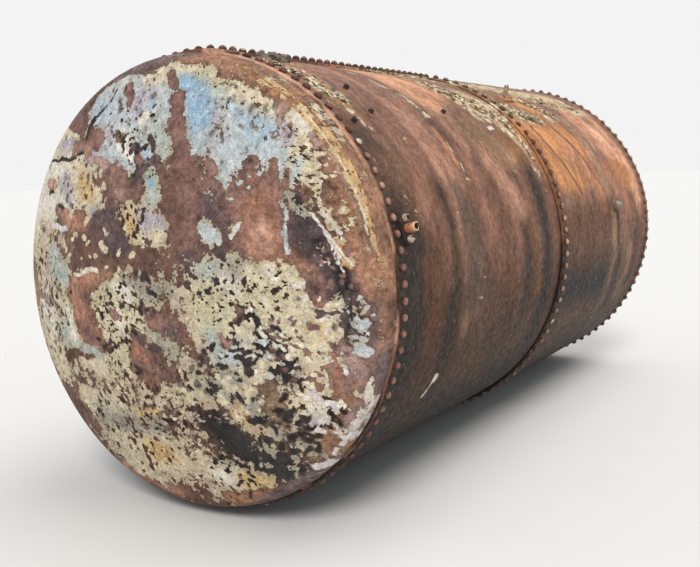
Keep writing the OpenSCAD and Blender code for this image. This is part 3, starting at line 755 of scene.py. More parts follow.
def dished_head(side, head_r, rim_x, n, seed):
    """Outer skin with its dents and scale, closed by the plate's inner face. side is -1 at the near end."""
    rho, phi = square_to_disc(n)
    share, *profile = head_profile(head_r)
    radius, depth, lean = (np.interp(rho, share, values) for values in profile)
    y, up = np.cos(phi), np.sin(phi)
    flat = np.column_stack([radius * y * MM, radius * up * MM, depth * 300])
    push = relief(flat, seed, **HEAD_RELIEF) * np.where(depth < 0, 0.25, 1.0)
    radius = radius + push * np.sin(lean)
    depth = depth + push * np.cos(lean)
    verts = [np.column_stack([rim_x + side * depth, radius * y, AXIS_Z + radius * up])]
    faces = [grid_quads(n + 1, n + 1)]

    # The inner face: rings from the rim to near the middle, and a small face there
    border = grid_border(n + 1, n + 1)
    count = len(border)
    last = border
    for k in np.linspace(1, 0.02, 7):
        r, z, a = (np.interp(k, share, values) for values in profile)
        r, z = r - HEAD_T * math.sin(a), z - HEAD_T * math.cos(a)
        ring = np.arange(count) + sum(map(len, verts))
        verts.append(np.column_stack([np.full(count, rim_x + side * z), r * y[border],
                                      AXIS_Z + r * up[border]]))
        faces.append(bridge(last, ring))
        last = ring
    faces = [tuple(f) for f in np.vstack(faces)] + [tuple(last)]
    if side > 0:
        faces = [f[::-1] for f in faces]
    return np.vstack(verts), faces, len(rho)


def head_chart(verts, ground, **look):
    return Chart(verts[:, 1] * MM, (verts[:, 2] - AXIS_Z) * MM, ground, **look)


# Corrections that the head's finished colours are multiplied by
HEAD_PAINT_CAST = (0.98, 0.99, 1.09)
HEAD_METAL_CAST = (0.92, 0.98, 1.03)


def add_near_head():
    rim_x = low_corner("near_course", 0) - HEAD_STRAIGHT
    verts, faces, outer = dished_head(-1, NEAR_HEAD_R, rim_x, n=288, seed=3)
    obj = add_piece("near_head_skin", verts, faces, SKIN, ["near_head"], 50)
    chart = head_chart(verts, "rust", wander=24, scale=0.012, seed=5)
    for stroke in HEAD_STROKES:
        chart.stroke(*stroke, soft=0.8 if stroke[5] > 18 else 0.5)
    rng = np.random.default_rng(23)
    for scatter in HEAD_SCATTER:
        chart.scatter(rng, *scatter)
    for arc in HEAD_ARCS:
        chart.arc(*arc)
    for stroke in HEAD_STROKES:
        if stroke[0] in ("white", "streak"):
            chart.stroke(*stroke, soft=0.5)
    for scratch in HEAD_SCRATCHES:
        chart.scratch(*scratch)
    chart.paint *= HEAD_PAINT_CAST
    chart.metal *= HEAD_METAL_CAST
    chart.finish(obj)
    add_head_flakes(chart, verts, outer)


FAR_HEAD_COUNT = 110
FAR_HEAD_FINISHES = ["pale_green", "cream", "speckled", "thin", "olive_speck", "brick", "orange",
                     "purple", "sooty", "rust", "ochre", "grey_brown"]


def add_far_head():
    rim_x = high_corner("far_course", 0) + HEAD_STRAIGHT
    verts, faces, _ = dished_head(1, FAR_HEAD_R, rim_x, n=200, seed=31)
    obj = add_piece("far_head_skin", verts, faces, SKIN, ["far_head"], 50)
    chart = head_chart(verts, "brick", wander=30, scale=0.010, seed=57)
    rng = np.random.default_rng(11)
    for _ in range(FAR_HEAD_COUNT):
        away = 700 * math.sqrt(rng.random())
        turn = rng.random() * 2 * math.pi
        length = 30 + 130 * rng.random()
        lean = math.pi / 2 + rng.normal() * 0.7
        u, v = away * math.cos(turn), away * math.sin(turn)
        chart.stroke(FAR_HEAD_FINISHES[int(rng.integers(len(FAR_HEAD_FINISHES)))], u, v,
                     u + length * math.cos(lean), v + length * math.sin(lean), 22 + 60 * rng.random())
    chart.finish(obj)


# Flakes of paint or scale that stand off a surface at one edge, sunk a little into it at the other

FLAKE_ROWS, FLAKE_COLS = 5, 3
FLAKE_T = 0.0008
FLAKE_SUNK = 0.0006
HEAD_FLAKES = 1500


def add_flakes(name, material, seats, normals, falls, paint, metal, cover, size, lift, seed):
    """One small curled plate at each seat, its free edge towards its fall, of about that size and lift."""
    rng = np.random.default_rng(seed)
    points = FLAKE_ROWS * FLAKE_COLS
    quads = grid_quads(FLAKE_ROWS, FLAKE_COLS)
    rim = grid_border(FLAKE_ROWS, FLAKE_COLS)
    ahead = np.roll(rim, -1)
    flake = np.vstack([quads, quads[:, ::-1] + points,
                       np.stack([ahead, rim, rim + points, ahead + points], axis=-1)])
    verts, faces = [], []
    for seat, normal, fall in zip(seats, normals, falls):
        across = np.cross(normal, fall)
        long, wide = size * (0.5 + rng.random()), size * (0.35 + 0.8 * rng.random())
        high = lift * (0.3 + 0.7 * rng.random())
        start = len(verts)
        for r in range(FLAKE_ROWS):
            k = r / (FLAKE_ROWS - 1)
            half = wide / 2 * (1 - 0.5 * abs(2 * k - 1) ** 2) * (0.75 + 0.5 * rng.random())
            for c in range(FLAKE_COLS):
                a = (k - 0.5) * long * (1 - 0.15 * rng.random())
                h = high * k * k - FLAKE_SUNK + FLAKE_SUNK * rng.random() - 0.15 * high * (c != 1) * k
                verts.append(seat + fall * a + across * (c - 1) * half + normal * h)
        verts += [point - normal * FLAKE_T for point in verts[start:]]
        faces.append(flake + start)
    obj = add_piece(name, verts, np.vstack(faces), material, (), 50)
    set_finish(obj, np.repeat(paint, 2 * points, axis=0), cover, np.repeat(metal, 2 * points, axis=0), 0.1)


def add_head_flakes(chart, verts, outer):
    """Curled paint on the near head, with the free edge mostly down."""
    rng = np.random.default_rng(401)
    y, z = verts[:outer, 1], verts[:outer, 2] - AXIS_Z
    away = np.hypot(y, z)
    cover = chart.cover[:outer]
    broken = (cover > 0.50) & (cover < 1.0)
    on_crown = (away > 0.15) & (away < 0.69)
    chosen = rng.choice(np.flatnonzero(broken & on_crown), HEAD_FLAKES, replace=False)
    lean = np.arcsin(away[chosen] / CROWN_R)
    turn = np.arctan2(z[chosen], y[chosen])
    normals = np.column_stack([-np.cos(lean), np.sin(lean) * np.cos(turn), np.sin(lean) * np.sin(turn)])
    way = np.radians(-90 + rng.normal(0, 55, len(chosen)))
    falls = np.column_stack([np.zeros(len(chosen)), np.cos(way), np.sin(way)])
    falls -= normals * np.sum(falls * normals, axis=1)[:, None]
    falls /= np.linalg.norm(falls, axis=1)[:, None]
    tone = (0.8 + 0.35 * rng.random(len(chosen)))[:, None]
    add_flakes("near_head_flakes", SKIN, verts[chosen], normals, falls,
               chart.paint[chosen] * tone, chart.metal[chosen], cover=1.4, size=0.016, lift=0.0042,
               seed=402)


# Shell: finish, then two ends (millimetres behind the near rivet row, degrees above the side)
# and a half width in millimetres. The far side of the tank has the same, mirrored.
SHELL_STROKES = [
    # Near course, broad ground. Its dark, brown and olive strokes are partly dark rust and partly painted
    # shade: of the lower side, and of the rivets next to the near ring.
    ("brick", 150, 75, 420, 45, 200), ("rust", 450, 40, 560, -30, 190), ("dark", 60, 32, 40, -40, 110),
    ("dark", 160, 10, 190, -40, 110), ("brown", 300, 0, 330, -40, 80), ("brown", 260, -30, 700, -45, 150),
    ("dark", 0, -62, 2700, -62, 330), ("dark", 300, -48, 1300, -40, 110), ("brown", 250, 20, 260, -20, 70),
    ("brick", 250, 70, 270, 20, 90), ("rim_orange", 60, 74, 150, 46, 44), ("rust", 180, 52, 200, 30, 46),
    ("crust", 40, 78, 120, 52, 60), ("flakes", 50, 66, 110, 52, 34), ("flakes", 110, 46, 135, 42, 20),
    ("scale", 60, 30, 120, 20, 60), ("purple", 190, 56, 215, 60, 14), ("rose", 380, 84, 425, 40, 34),
    ("rose", 425, 42, 445, -15, 26), ("olive", 350, 20, 365, -45, 66), ("rust", 300, 60, 320, 0, 34),
    ("brick", 520, 78, 560, 30, 50), ("scale", 520, 22, 540, -3, 52), ("streak", 450, -7.5, 580, -7, 7),
    ("flakes", 550, 70, 615, 52, 16), ("flakes", 610, 54, 640, 44, 20), ("scale", 600, 42, 640, 24, 30),
    # The salmon strokes on the upper near course are pale rust drawn partly as a painted sheen band
    ("flakes", 600, 36, 622, 24, 12), ("orange", 580, 40, 590, 30, 16), ("salmon", 690, 78, 760, 52, 74),
    ("salmon", 820, 68, 930, 60, 80), ("rose", 700, 46, 735, 34, 34), ("orange", 940, 74, 1010, 62, 60),
    ("brick", 690, 32, 700, 10, 30), ("grey_brown", 800, 42, 970, 34, 60),
    ("grey_brown", 1000, 42, 1020, 28, 50), ("rust", 760, 24, 980, 14, 74), ("brown", 820, 26, 960, 8, 44),
    ("brick", 900, 20, 960, 6, 44), ("olive", 1010, 22, 1020, -20, 50), ("honey", 800, -4, 880, -8, 30),
    ("honey", 1100, -5, 1160, -10, 34), ("honey", 1150, 36, 1200, 28, 40),
    ("dark", 1220, 24, 1250, -28, 64), ("brown", 740, -10, 700, -30, 60),
    ("brown", 1080, 10, 1090, -30, 40), ("mauve", 1060, 36, 1110, 30, 36), ("rose", 470, 44, 520, 24, 40),
    ("rose", 860, 30, 1010, 16, 50), ("drab", 500, 22, 480, -8, 50), ("drab", 560, 16, 570, -4, 34),
    ("fox", 176, 4, 210, -20, 30), ("fox", 230, -6, 300, -34, 40), ("fox", 800, -3, 850, -16, 40),
    ("fox", 900, -8, 900, -22, 30),
    # Crust along the upper part of the near course
    ("crust", 1040, 64, 1180, 52, 66), ("crust", 1180, 55, 1330, 46, 56), ("crust", 760, 84, 1300, 76, 90),
    ("crust", 1320, 44, 1370, 36, 28), ("bleached_and_sheen", 1230, 60, 1385, 51, 52),
    ("crust", 1100, 62, 1230, 45, 56), ("crust", 1230, 47, 1320, 36, 30),
    ("crust", 1050, 54, 1110, 46, 40), ("bleached_and_sheen", 1237, 48, 1300, 36, 34),
    ("crust", 1316, 38, 1316, 26, 24), ("flakes", 1080, 46, 1170, 44, 16),
    ("white", 1096, 41.5, 1128, 41.5, 9), ("honey", 1180, 50, 1260, 54, 26),
    ("purple", 120, 86, 420, 84, 60), ("crust", 200, 72, 250, 70, 26), ("dark", 440, 88, 700, 90, 46),
    # Far course
    ("bright", 1470, 38, 1950, 37, 120), ("bright", 1480, 24, 1780, 22, 76),
    ("orange", 1830, 30, 2050, 20, 76), ("brick", 1440, 14, 1860, 15, 22),
    ("rust", 1560, 42, 1600, 34, 10), ("rust", 1600, 34, 1680, 24, 11), ("rust", 1680, 24, 1760, 17, 12),
    ("rust", 1840, 42, 1920, 34, 12), ("rust", 1920, 34, 2040, 20, 14), ("rust", 2000, 44, 2110, 32, 12),
    # The brown and dark bands below the side are partly dark rust and partly painted shade of the lower
    # side
    ("brown", 1440, 6, 2080, 6, 72), ("brown", 1430, -5, 2080, -6, 80), ("dark", 1440, -14, 2060, -16, 90),
    ("black", 1500, -9, 1640, -11, 12), ("black", 1800, -11, 2000, -9, 12),
    ("dark", 1420, 0, 1425, -30, 34), ("crust", 1450, 49, 1640, 46, 34), ("crust", 1620, 49, 1760, 46, 30),
    ("crust", 1560, 48, 1760, 47, 34), ("sooty", 1590, 47, 1750, 46, 20),
    ("crust", 1790, 57, 2020, 50, 40), ("crust", 1860, 50, 1960, 46, 26),
    ("bright", 1640, 56, 1860, 53, 40), ("honey", 1620, 60, 1700, 57, 26),
    ("grey_brown", 1440, 60, 1560, 54, 60), ("crust", 1440, 70, 1900, 66, 70),
    # The pale band along the top of the far course and the salmon strokes towards the far ring are partly
    # pale coating and rust, partly painted sheen of the lit top
    ("bleached_and_sheen", 1900, 66, 2500, 62, 70), ("bleached_and_sheen", 2250, 57, 2620, 52, 46),
    ("bleached_and_sheen", 2120, 60, 2400, 54, 44), ("flakes", 2020, 60, 2200, 57, 22),
    ("crust", 1400, 84, 2700, 82, 80), ("mauve", 2110, 46, 2140, 16, 46), ("rose", 2080, 42, 2100, 26, 22),
    ("rose", 2230, 48, 2240, 34, 30), ("salmon", 2290, 46, 2420, 34, 80),
    ("salmon", 2420, 46, 2540, 28, 60), ("lit_edge", 2440, 44, 2500, 34, 30),
    ("fox", 1424, 36, 1432, 8, 26), ("bright", 2400, 24, 2560, 20, 60), ("orange", 2260, 24, 2380, 10, 70),
    ("brick", 2320, 16, 2340, -4, 40), ("grey_brown", 2160, 6, 2180, -26, 44),
    ("mauve", 2170, -2, 2176, -18, 22), ("dark", 2230, 6, 2240, -4, 20),
    ("grey_brown", 2380, -6, 2560, -24, 90), ("rose", 2460, -8, 2480, -26, 40),
    ("olive", 2280, -10, 2300, -30, 40), ("salmon", 2590, 44, 2650, 12, 60),
    ("brown", 2560, -2, 2600, -20, 50),
    # Lit edges of the plates
    ("lit_edge", -32, 86, -32, 40, 7), ("lit_edge", -32, 40, -32, -12, 7), ("rose", -32, -12, -32, -60, 6),
    ("mauve", -18, 80, -18, 20, 8),
    # Marks low on the near course
    ("white", 338, -25.5, 334, -27.5, 10), ("streak", 332, -28, 318, -32, 7),
    ("white", 356, -26.4, 354, -27.6, 6),
]

# A correction that the shell's finished metal colours are multiplied by
SHELL_CAST = (1.15, 1.11, 0.97)
UNDERSIDE_SHADE = 0.52  # how much darker the underside is drawn: painted shade of the lower side
UNDERSIDE_SHADE_DEG = (-10, 24)  # degrees below the side at which that painted shade starts and is full
SPLIT_DEG = 0.01  # half the step at a lapped edge, in degrees round the shell
SPLIT_X = 0.0002  # and in metres along it
INNER_GAP = 0.0002


def lap_rise(past, r):
    """Rise of a lapped plate over its circle, that many degrees past its seam line."""
    half = math.degrees(EDGE / r)
    s = (past - half) / LIFT_DEG
    eased = PLATE * (1 - s * s * (3 - 2 * s))
    return np.where(np.abs(past) <= half, PLATE, np.where((s > 0) & (s < 1), eased, 0.0))


def lap_tilt(past, r):
    """Slope of that rise in degrees."""
    s = (past - math.degrees(EDGE / r)) / LIFT_DEG
    if not 0 < s < 1:
        return 0.0
    return math.degrees(math.atan(PLATE * 6 * s * (1 - s) / (math.radians(LIFT_DEG) * r)))


def course_skin(name, node, x1, x2, r, seam_deg, lap_x2, nx, nt, seed):
    """A rolled plate lapped on itself, with caulked edges, dents, scale and its inner face.

    It laps as far as lap_x2, and has nx points along the tank and nt round it."""
    step_deg = seam_deg - math.degrees(EDGE / r)
    deg = np.linspace(-90, 270, nt, endpoint=False)
    at = int(np.argmin(np.abs(deg - step_deg)))
    deg[at], deg[at + 1] = step_deg - SPLIT_DEG, step_deg + SPLIT_DEG  # the free edge of the lap
    xs = np.linspace(x1 + CAULK, x2 - CAULK, nx)
    if lap_x2 < xs[-1]:
        at = int(np.argmin(np.abs(xs - lap_x2)))
        xs[at], xs[at + 1] = lap_x2 - SPLIT_X, lap_x2 + SPLIT_X
    xx, dd = np.repeat(xs, nt), np.tile(deg, nx)
    rise = lap_rise(dd - seam_deg, r) * (xx <= lap_x2)
    push = relief(on_circle(xx, dd, r) * MM, seed, **SHELL_RELIEF)
    verts = [on_circle(xx, dd, r + rise + push)]
    faces = [grid_quads(nx, nt, closed=True)]
    first = np.arange(nt)
    last = first + (nx - 1) * nt
    for x in (x2, (x1 + x2) / 2, x1):
        ring = first + sum(map(len, verts))
        verts.append(on_circle(np.full(nt, x), deg, r - PLATE + INNER_GAP))
        faces.append(bridge(last, ring))
        last = ring
    faces.append(bridge(last, first))
    verts = np.vstack(verts)
    obj = add_piece(name, verts, np.vstack(faces)[:, ::-1], SHELL, [node], 38)
    angle = np.degrees(np.arctan2(verts[:, 2] - AXIS_Z, -verts[:, 1]))
    angle = np.where(angle < -90, angle + 360, angle)
    hidden = angle > 90
    mirrored = np.where(hidden, 180 - angle, angle)
    chart = Chart((verts[:, 0] - NEAR_ROW) * MM, mirrored * DEG_MM, "rust", wander=24, scale=0.006,
                  seed=seed, w=np.where(hidden, 700.0, 0.0))
    for finish, x1, deg1, x2, deg2, width in SHELL_STROKES:
        chart.stroke(finish, x1, deg1 * DEG_MM, x2, deg2 * DEG_MM, width, 0.9 if width > 18 else 0.6)
    chart.metal *= SHELL_CAST
    # Painted shade: the metal is drawn darker towards the bottom of the shell
    chart.metal *= (1 - UNDERSIDE_SHADE * smooth(*UNDERSIDE_SHADE_DEG, -mirrored))[:, None]
    chart.finish(obj)


# Patches of thick crust on the camera side: two ends, half width (as for the strokes) and lumps
CRUST_PATCHES = [
    (1040, 64, 1190, 52, 60, 210), (1190, 55, 1330, 45, 50, 190), (1310, 43, 1340, 30, 20, 60),
    (1450, 51, 1770, 46, 30, 190), (1790, 57, 2020, 50, 34, 110), (50, 74, 120, 50, 44, 110),
    (300, 84, 1250, 78, 60, 160), (2030, 60, 2560, 54, 30, 90),
]
CRUST_SUNK = 0.001
CRUST_TINTS = ((222, 206, 174), (190, 166, 134), (108, 90, 76), (236, 224, 200), (182, 144, 110))


def add_crust():
    """Lumps of scale and old coating that stand on the plates."""
    rng = np.random.default_rng(501)
    seats, normals, falls, tints = [], [], [], []
    for x1, deg1, x2, deg2, half_width, count in CRUST_PATCHES:
        for _ in range(count):
            k = rng.random()
            x = NEAR_ROW + (x1 + (x2 - x1) * k + rng.normal(0, half_width * 0.5)) / MM
            deg = deg1 + (deg2 - deg1) * k + rng.normal(0, half_width * 0.5) / DEG_MM
            r = NEAR_R if x < MID_ROW - EDGE else FAR_R
            seats.append(on_circle(x, deg, r - CRUST_SUNK)[0])
            c, s = math.cos(math.radians(deg)), math.sin(math.radians(deg))
            normals.append(np.array([0.0, -c, s]))
            way = rng.random() * 2 * math.pi
            falls.append(np.array([math.cos(way), -s * math.sin(way), -c * math.sin(way)]))
            tints.append(srgb(*CRUST_TINTS[int(rng.integers(len(CRUST_TINTS)))]))
    add_flakes("shell_crust", SHELL, seats, normals, falls, tints, tints, cover=0.9,
               size=0.020, lift=0.006, seed=502)


# Rivets

# Rings of a rivet head: height over its seat and share of its radius
DOME = [(-0.0035, 1.05), (0.0, 1.02), (0.003, 0.95), (0.0066, 0.78), (0.0096, 0.52), (0.0114, 0.25)]
DOME_SIDES = 18

# Rivet colours at angles above the side. Low on the shell they are darker, as painted shade of the lower
# side, and the far ring's upper rivets are paler partly as painted sunlight on its lit top.
NEAR_TINTS = [(-60, (98, 70, 58)), (-20, (164, 122, 104)), (25, (178, 136, 118)), (40, (122, 86, 72)),
              (65, (140, 96, 76)), (90, (124, 98, 88))]
MID_TINTS = [(-60, (110, 80, 64)), (-10, (190, 150, 126)), (14, (206, 168, 142)), (24, (112, 78, 62)),
             (48, (120, 88, 68)), (60, (206, 186, 150)), (90, (120, 100, 88))]
FAR_TINTS = [(-50, (140, 100, 80)), (0, (190, 146, 122)), (30, (208, 168, 138)), (50, (222, 200, 166)),
             (90, (170, 150, 130))]
RIVET_FOOT = (84, 58, 48)
WHITE_RIVETS = (35.6,)  # degrees of the rivets that still have their paint
PAINTED, CRUSTED, BARE = 1.2, 0.55, 0.12  # paint cover of a rivet head


def tint_at(tints, deg):
    """Colour between the stated angles above the side; the far side has the same, mirrored."""
    above = 90 - abs((deg + 90) % 360 - 180)
    stops, colours = zip(*tints)
    return [float(np.interp(above, stops, channel)) for channel in zip(*colours)]


def rivets(name, node, places, base_r, seam_deg, seed, tints, white=()):
    """Domed rivet heads, each worn and leaning a little. A place is (x, degrees, seat rise)."""
    rng = np.random.default_rng(seed)
    foot = np.array(srgb(*RIVET_FOOT))
    spin = np.linspace(0, 2 * math.pi, DOME_SIDES, endpoint=False)
    faces = capped(len(DOME), DOME_SIDES)
    parts, metal, cover = [], [], []
    for x, deg, rise in places:
        squash = 0.93 + 0.07 * rng.random()
        lean = rng.normal(0, 0.03, 2)
        worn = rng.random()
        tone = 0.62 + 0.6 * rng.random()
        crusted = rng.random() < 0.14
        top = np.array(srgb(*tint_at(tints, deg)))
        is_white = any(abs(deg - w) < PITCH / 2 for w in white)
        coated = PAINTED if is_white else CRUSTED if crusted else BARE
        rings = []
        for h, share in DOME:
            reach = RIVET_R * share * squash * (1 - 0.05 * rng.random(DOME_SIDES))
            a, b = reach * np.cos(spin), reach * np.sin(spin)
            high = h * (1 - 0.12 * worn * (share < 0.6))
            rings.append(np.column_stack([a, b, high - (a * lean[0] + b * lean[1]) * (h > 0)]))
            mixed = min(smooth(0.001, 0.008, h) * tone, 1)
            metal += [foot * (1 - mixed) + top * mixed] * DOME_SIDES
            cover += [coated if h > 0.004 else BARE] * DOME_SIDES
        rings.append((0, 0, RIVET_HIGH * (1 - 0.10 * worn)))
        metal.append(top * min(tone, 1.1))
        cover.append(coated)
        tilt = lap_tilt(deg - seam_deg, base_r)
        parts.append((stand(np.vstack(rings), x, deg, base_r + rise, -tilt), faces))
    verts, faces = joined(parts)
    obj = add_piece(name, verts, faces, IRON, [node], 60)
    noise = fractal(verts * MM, 0.09, 3, seed)
    set_finish(obj, srgb(*OLD_PAINT), cover, np.array(metal) * (0.8 + 0.4 * noise)[:, None], 0.3)


def ring_of_rivets(name, node, x, r, seam_deg, seed, tints, white=()):
    turns = [(i + 0.5) * PITCH for i in range(RING_COUNT)]
    places = [(x, deg, float(lap_rise(deg - seam_deg, r))) for deg in turns]
    rivets(name, node, places, r, seam_deg, seed, tints, white)


def line_of_rivets(name, node, x1, x2, count, deg, r, seed, tints):
    step = (x2 - x1) / (count + 1)
    rivets(name, node, [(x1 + step * (i + 1), deg, PLATE) for i in range(count)], r, deg, seed, tints)


# Small fittings

def plain_finish(obj, tone, seed, cover=0.12, paint=OLD_PAINT, specks=0.4, spread=0.5):
    """One metal tone for the piece, or one for each of its points, varied by noise."""
    verts = np.empty(len(obj.data.vertices) * 3)
    obj.data.vertices.foreach_get("co", verts)
    places = verts.reshape(-1, 3) * MM
    noise = fractal(places, 0.05, 4, seed)
    metal = np.array(tone).reshape(-1, 3) * (1 - spread / 2 + spread * noise)[:, None]
    covers = cover + (fractal(places, 0.03, 3, seed + 5) - 0.5) * 0.5
    set_finish(obj, srgb(*paint), covers, metal, specks)


def outline(along, around, corner, start=0.5, count=72):
    """A plate's edge with round corners."""
    points = []
    for i in range(count):
        a = 2 * math.pi * (i + start) / count
        c, s = math.cos(a), math.sin(a)
        points.append((corner * c + (along / 2 - corner) * (1 if c >= 0 else -1),
                       corner * s + (around / 2 - corner) * (1 if s >= 0 else -1)))
    return np.array(points)


def saddle_plate(name, node, x, deg, r, points, t, seed, slot, tint, bevel=0.0015, rough=0.0012, **finish):
    """A plate that lies on the shell, with a worn edge and a lumpy top."""
    rings = [(1.0, -0.003), (1.0, t - bevel), (1.0 - 0.4 * bevel / 0.01, t - bevel * 0.3)]
    rings += [(share, t) for share in (0.93, 0.82, 0.68, 0.52, 0.36, 0.18)]
    verts = []
    for share, high in rings:
        a, b = points.T * share
        flat = np.column_stack([a * MM + seed, b * MM, np.full(len(points), high * MM)])
        lump = (fractal(flat, 0.09, 3, seed) - 1.0) * rough * (2.0 if high > 0 else 0)
        edge = 1 - 0.03 * fractal(flat, 0.12, 2, seed + 3) * (share > 0.9) * (high > 0)
        verts.append(on_circle(x + a * edge, deg + np.degrees(b * edge / r), r + high + lump))
    verts.append(on_circle(x, deg, r + t - rough))
    obj = add_piece(name, np.vstack(verts), capped(len(rings), len(points)), IRON, [node], 40)
    plain_finish(obj, srgb(*tint), seed, **finish)


def turned(x, deg, r, rings, seed, segments=36, sides=0, rough=0.0008):
    """A piece of rings (radius, height, how far it is broken down) that stands on the shell.

    sides gives a nut or a square its flats."""
    spin = np.linspace(0, 2 * math.pi, segments, endpoint=False)
    flats = 1.0
    if sides:
        flats = 1 / np.cos(np.mod(spin, 2 * math.pi / sides) - math.pi / sides)
        flats = np.minimum(flats, 1 / math.cos(math.pi / sides) * 0.985)
    round_about = np.column_stack([np.cos(spin) * 2.2 + seed, np.sin(spin) * 2.2, np.zeros(segments)])
    ragged = fractal(round_about, 1.0, 3, seed)
    local = np.vstack([np.column_stack([radius * flats * np.cos(spin), radius * flats * np.sin(spin),
                                        high - sum(broken) * ragged])
                       for radius, high, *broken in rings])
    push = (fractal(local * MM + seed, 0.16, 3, seed) - 1.0) * rough
    away = np.hypot(local[:, 0], local[:, 1]) + 1e-9
    local[:, :2] += push[:, None] * local[:, :2] / away[:, None]
    return stand(local, x, deg, r), capped(len(rings), segments, pointed=False)


def standing(name, node, parts, slot, tints, seed, **finish):
    """Joins turned parts into one piece; tints are for the parts in turn, or a lone part's points."""
    verts, faces = joined(parts)
    obj = add_piece(name, verts, faces, IRON, [node], 40)
    tones = np.array([srgb(*tint) for tint in tints])
    if len(parts) > 1:
        tones = np.vstack([np.tile(tones[i % len(tones)], (len(part[0]), 1))
                           for i, part in enumerate(parts)])
    plain_finish(obj, tones, seed, **finish)


# Rings of the turned pieces. The pipe's go up its outside and down its inside, and have tints of their own.
PIPE = [(0.0156, 0.002), (0.0155, 0.012), (0.0156, 0.022), (0.0153, 0.032), (0.0154, 0.040, 0.005),
        (0.0150, 0.048, 0.015), (0.0134, 0.049, 0.015), (0.0116, 0.048, 0.015), (0.0110, 0.040),
        (0.0110, 0.020), (0.0100, 0.006)]
# The near-black rings inside the bore are painted shade in the hole
PIPE_TINTS = [(130, 80, 58), (206, 132, 88), (206, 132, 88), (216, 150, 104), (214, 174, 138),
              (214, 174, 138), (224, 198, 168), (224, 198, 168), (60, 42, 34), (60, 42, 34), (60, 42, 34)]
PIPE_SIDES = 36
NUT = [(0.0120, -0.001), (0.0120, 0.0085), (0.0108, 0.0100)]
STUD = [(0.0070, 0.0), (0.0070, 0.0138), (0.0058, 0.0150)]
SMALL_DOME = [(0.0104, -0.001), (0.0100, 0.002), (0.0082, 0.0055), (0.0050, 0.0076), (0.0020, 0.0083)]
PLUG_COLLAR = [(0.0210, 0.008), (0.0210, 0.0162), (0.0196, 0.0170)]
PLUG_SQUARE = [(0.0108, 0.012), (0.0108, 0.0298), (0.0096, 0.0312)]
STUB_BOLT = [(0.0100, -0.004), (0.0100, 0.0085), (0.0090, 0.0110, 0.003), (0.0040, 0.0108, 0.004)]


def add_outlet():
    x, deg = NEAR_ROW + OUTLET_X, OUTLET_DEG
    saddle_plate("outlet_plate", "outlet_flange", x, deg, NEAR_R,
                 outline(FLANGE_WIDE, FLANGE_LONG, FLANGE_WIDE / 2, 0), FLANGE_T, 7,
                 "dark_iron", (62, 50, 48), rough=0.0016, cover=0.10)
    stub = turned(x, deg, NEAR_R, PIPE, 5, PIPE_SIDES, rough=0.0014)
    standing("outlet_pipe", "outlet_stub", [stub], "orange_rust",
             [tint for tint in PIPE_TINTS for _ in range(PIPE_SIDES)], 15, spread=1.0)
    nuts = []
    for side in (-1, 1):
        at = deg + side * math.degrees(STUD_OFF / NEAR_R)
        nuts.append(turned(x, at, NEAR_R + FLANGE_T, NUT, 9 + side, 48, sides=6, rough=0.0012))
        nuts.append(turned(x, at, NEAR_R + FLANGE_T, STUD, 19 + side, 20))
    standing("outlet_stud_nuts", "outlet_nuts", nuts, "dark_iron", [(186, 158, 142), (46, 36, 34)], 25,
             cover=0.36, paint=(226, 210, 196), spread=1.2)


def add_pad():
    x, deg = NEAR_ROW + PAD_X, PAD_DEG
    saddle_plate("grey_pad", "top_pad", x, deg, NEAR_R, outline(PAD_LONG, PAD_WIDE, PAD_CORNER), PAD_T, 17,
                 "dark_iron", (112, 104, 98), bevel=0.003, rough=0.002, cover=0.42,
                 paint=(150, 146, 138), specks=1.0)
    domes = [turned(x + sx * PAD_RIVET_X, deg + side * math.degrees(PAD_RIVET_OFF / NEAR_R),
                    NEAR_R + PAD_T, SMALL_DOME, 27 + sx + 3 * side, 20)
             for sx in (-1, 1) for side in (-1, 1)]
    standing("grey_pad_rivets", "top_pad_rivets", domes, "dark_iron", [(134, 124, 116)], 37, cover=0.4)


def add_lug():
    x, deg = MID_ROW + LUG_X, LUG_DEG
    foot_x, foot_top = x + FOOT_SHIFT, FAR_R + FOOT_T
    saddle_plate("lug_plate", "lug_foot", foot_x, deg, FAR_R, outline(FOOT_LONG, FOOT_WIDE, FOOT_CORNER),
                 FOOT_T, 47, "orange_rust", (184, 132, 96), cover=0.3, spread=0.7)
    steps, half = 40, LUG_WIDE / 2
    outer, inner = [], []
    for i in range(steps):
        a = 2 * math.pi * i / steps - math.pi / 2
        u, v = math.cos(a), math.sin(a)
        inner.append((LUG_EYE_R * u, LUG_HIGH + LUG_EYE_R * v))
        if v >= 0:
            outer.append((half * u, LUG_HIGH + half * v))
        else:
            outer.append((half * max(-1, min(1, u * 1.45)),
                          LUG_HIGH + (LUG_HIGH + LUG_SUNK) * max(v * 1.25, -1)))
    worn = 1 - 0.05 * fractal(np.array([(u * 300, v * 300, 0) for u, v in outer]), 0.5, 2, 3)
    local = []
    for points, across, share in ((inner, -1, 1), (inner, 1, 1), (outer, 1, 0.95), (outer, 0.8, 1.0),
                                  (outer, -0.8, 1.0), (outer, -1, 0.95)):
        for i, (u, v) in enumerate(points):
            k = share * (worn[i] if points is outer else 1)
            high = LUG_HIGH + (v - LUG_HIGH) * (k if v > LUG_HIGH else 1)
            local.append((u * k, LUG_T / 2 * across, high))
    loops = np.arange(len(local)).reshape(-1, steps)
    faces = np.vstack([bridge(loop, loops[(k + 1) % len(loops)]) for k, loop in enumerate(loops)])
    lug = add_piece("lug", stand(local, x, deg, foot_top, -LUG_LEAN), faces, IRON, ["top_lug"])
    plain_finish(lug, srgb(176, 150, 128), 57, cover=0.45, paint=(226, 214, 192), spread=0.6)
    domes = [turned(foot_x + dx, deg, foot_top, SMALL_DOME, 67, 20) for dx in (0.0, FOOT_RIVET_X)]
    standing("lug_plate_rivets", "lug_foot_rivets", domes, "rusted_rivets", [(170, 124, 96)], 77, cover=0.2)


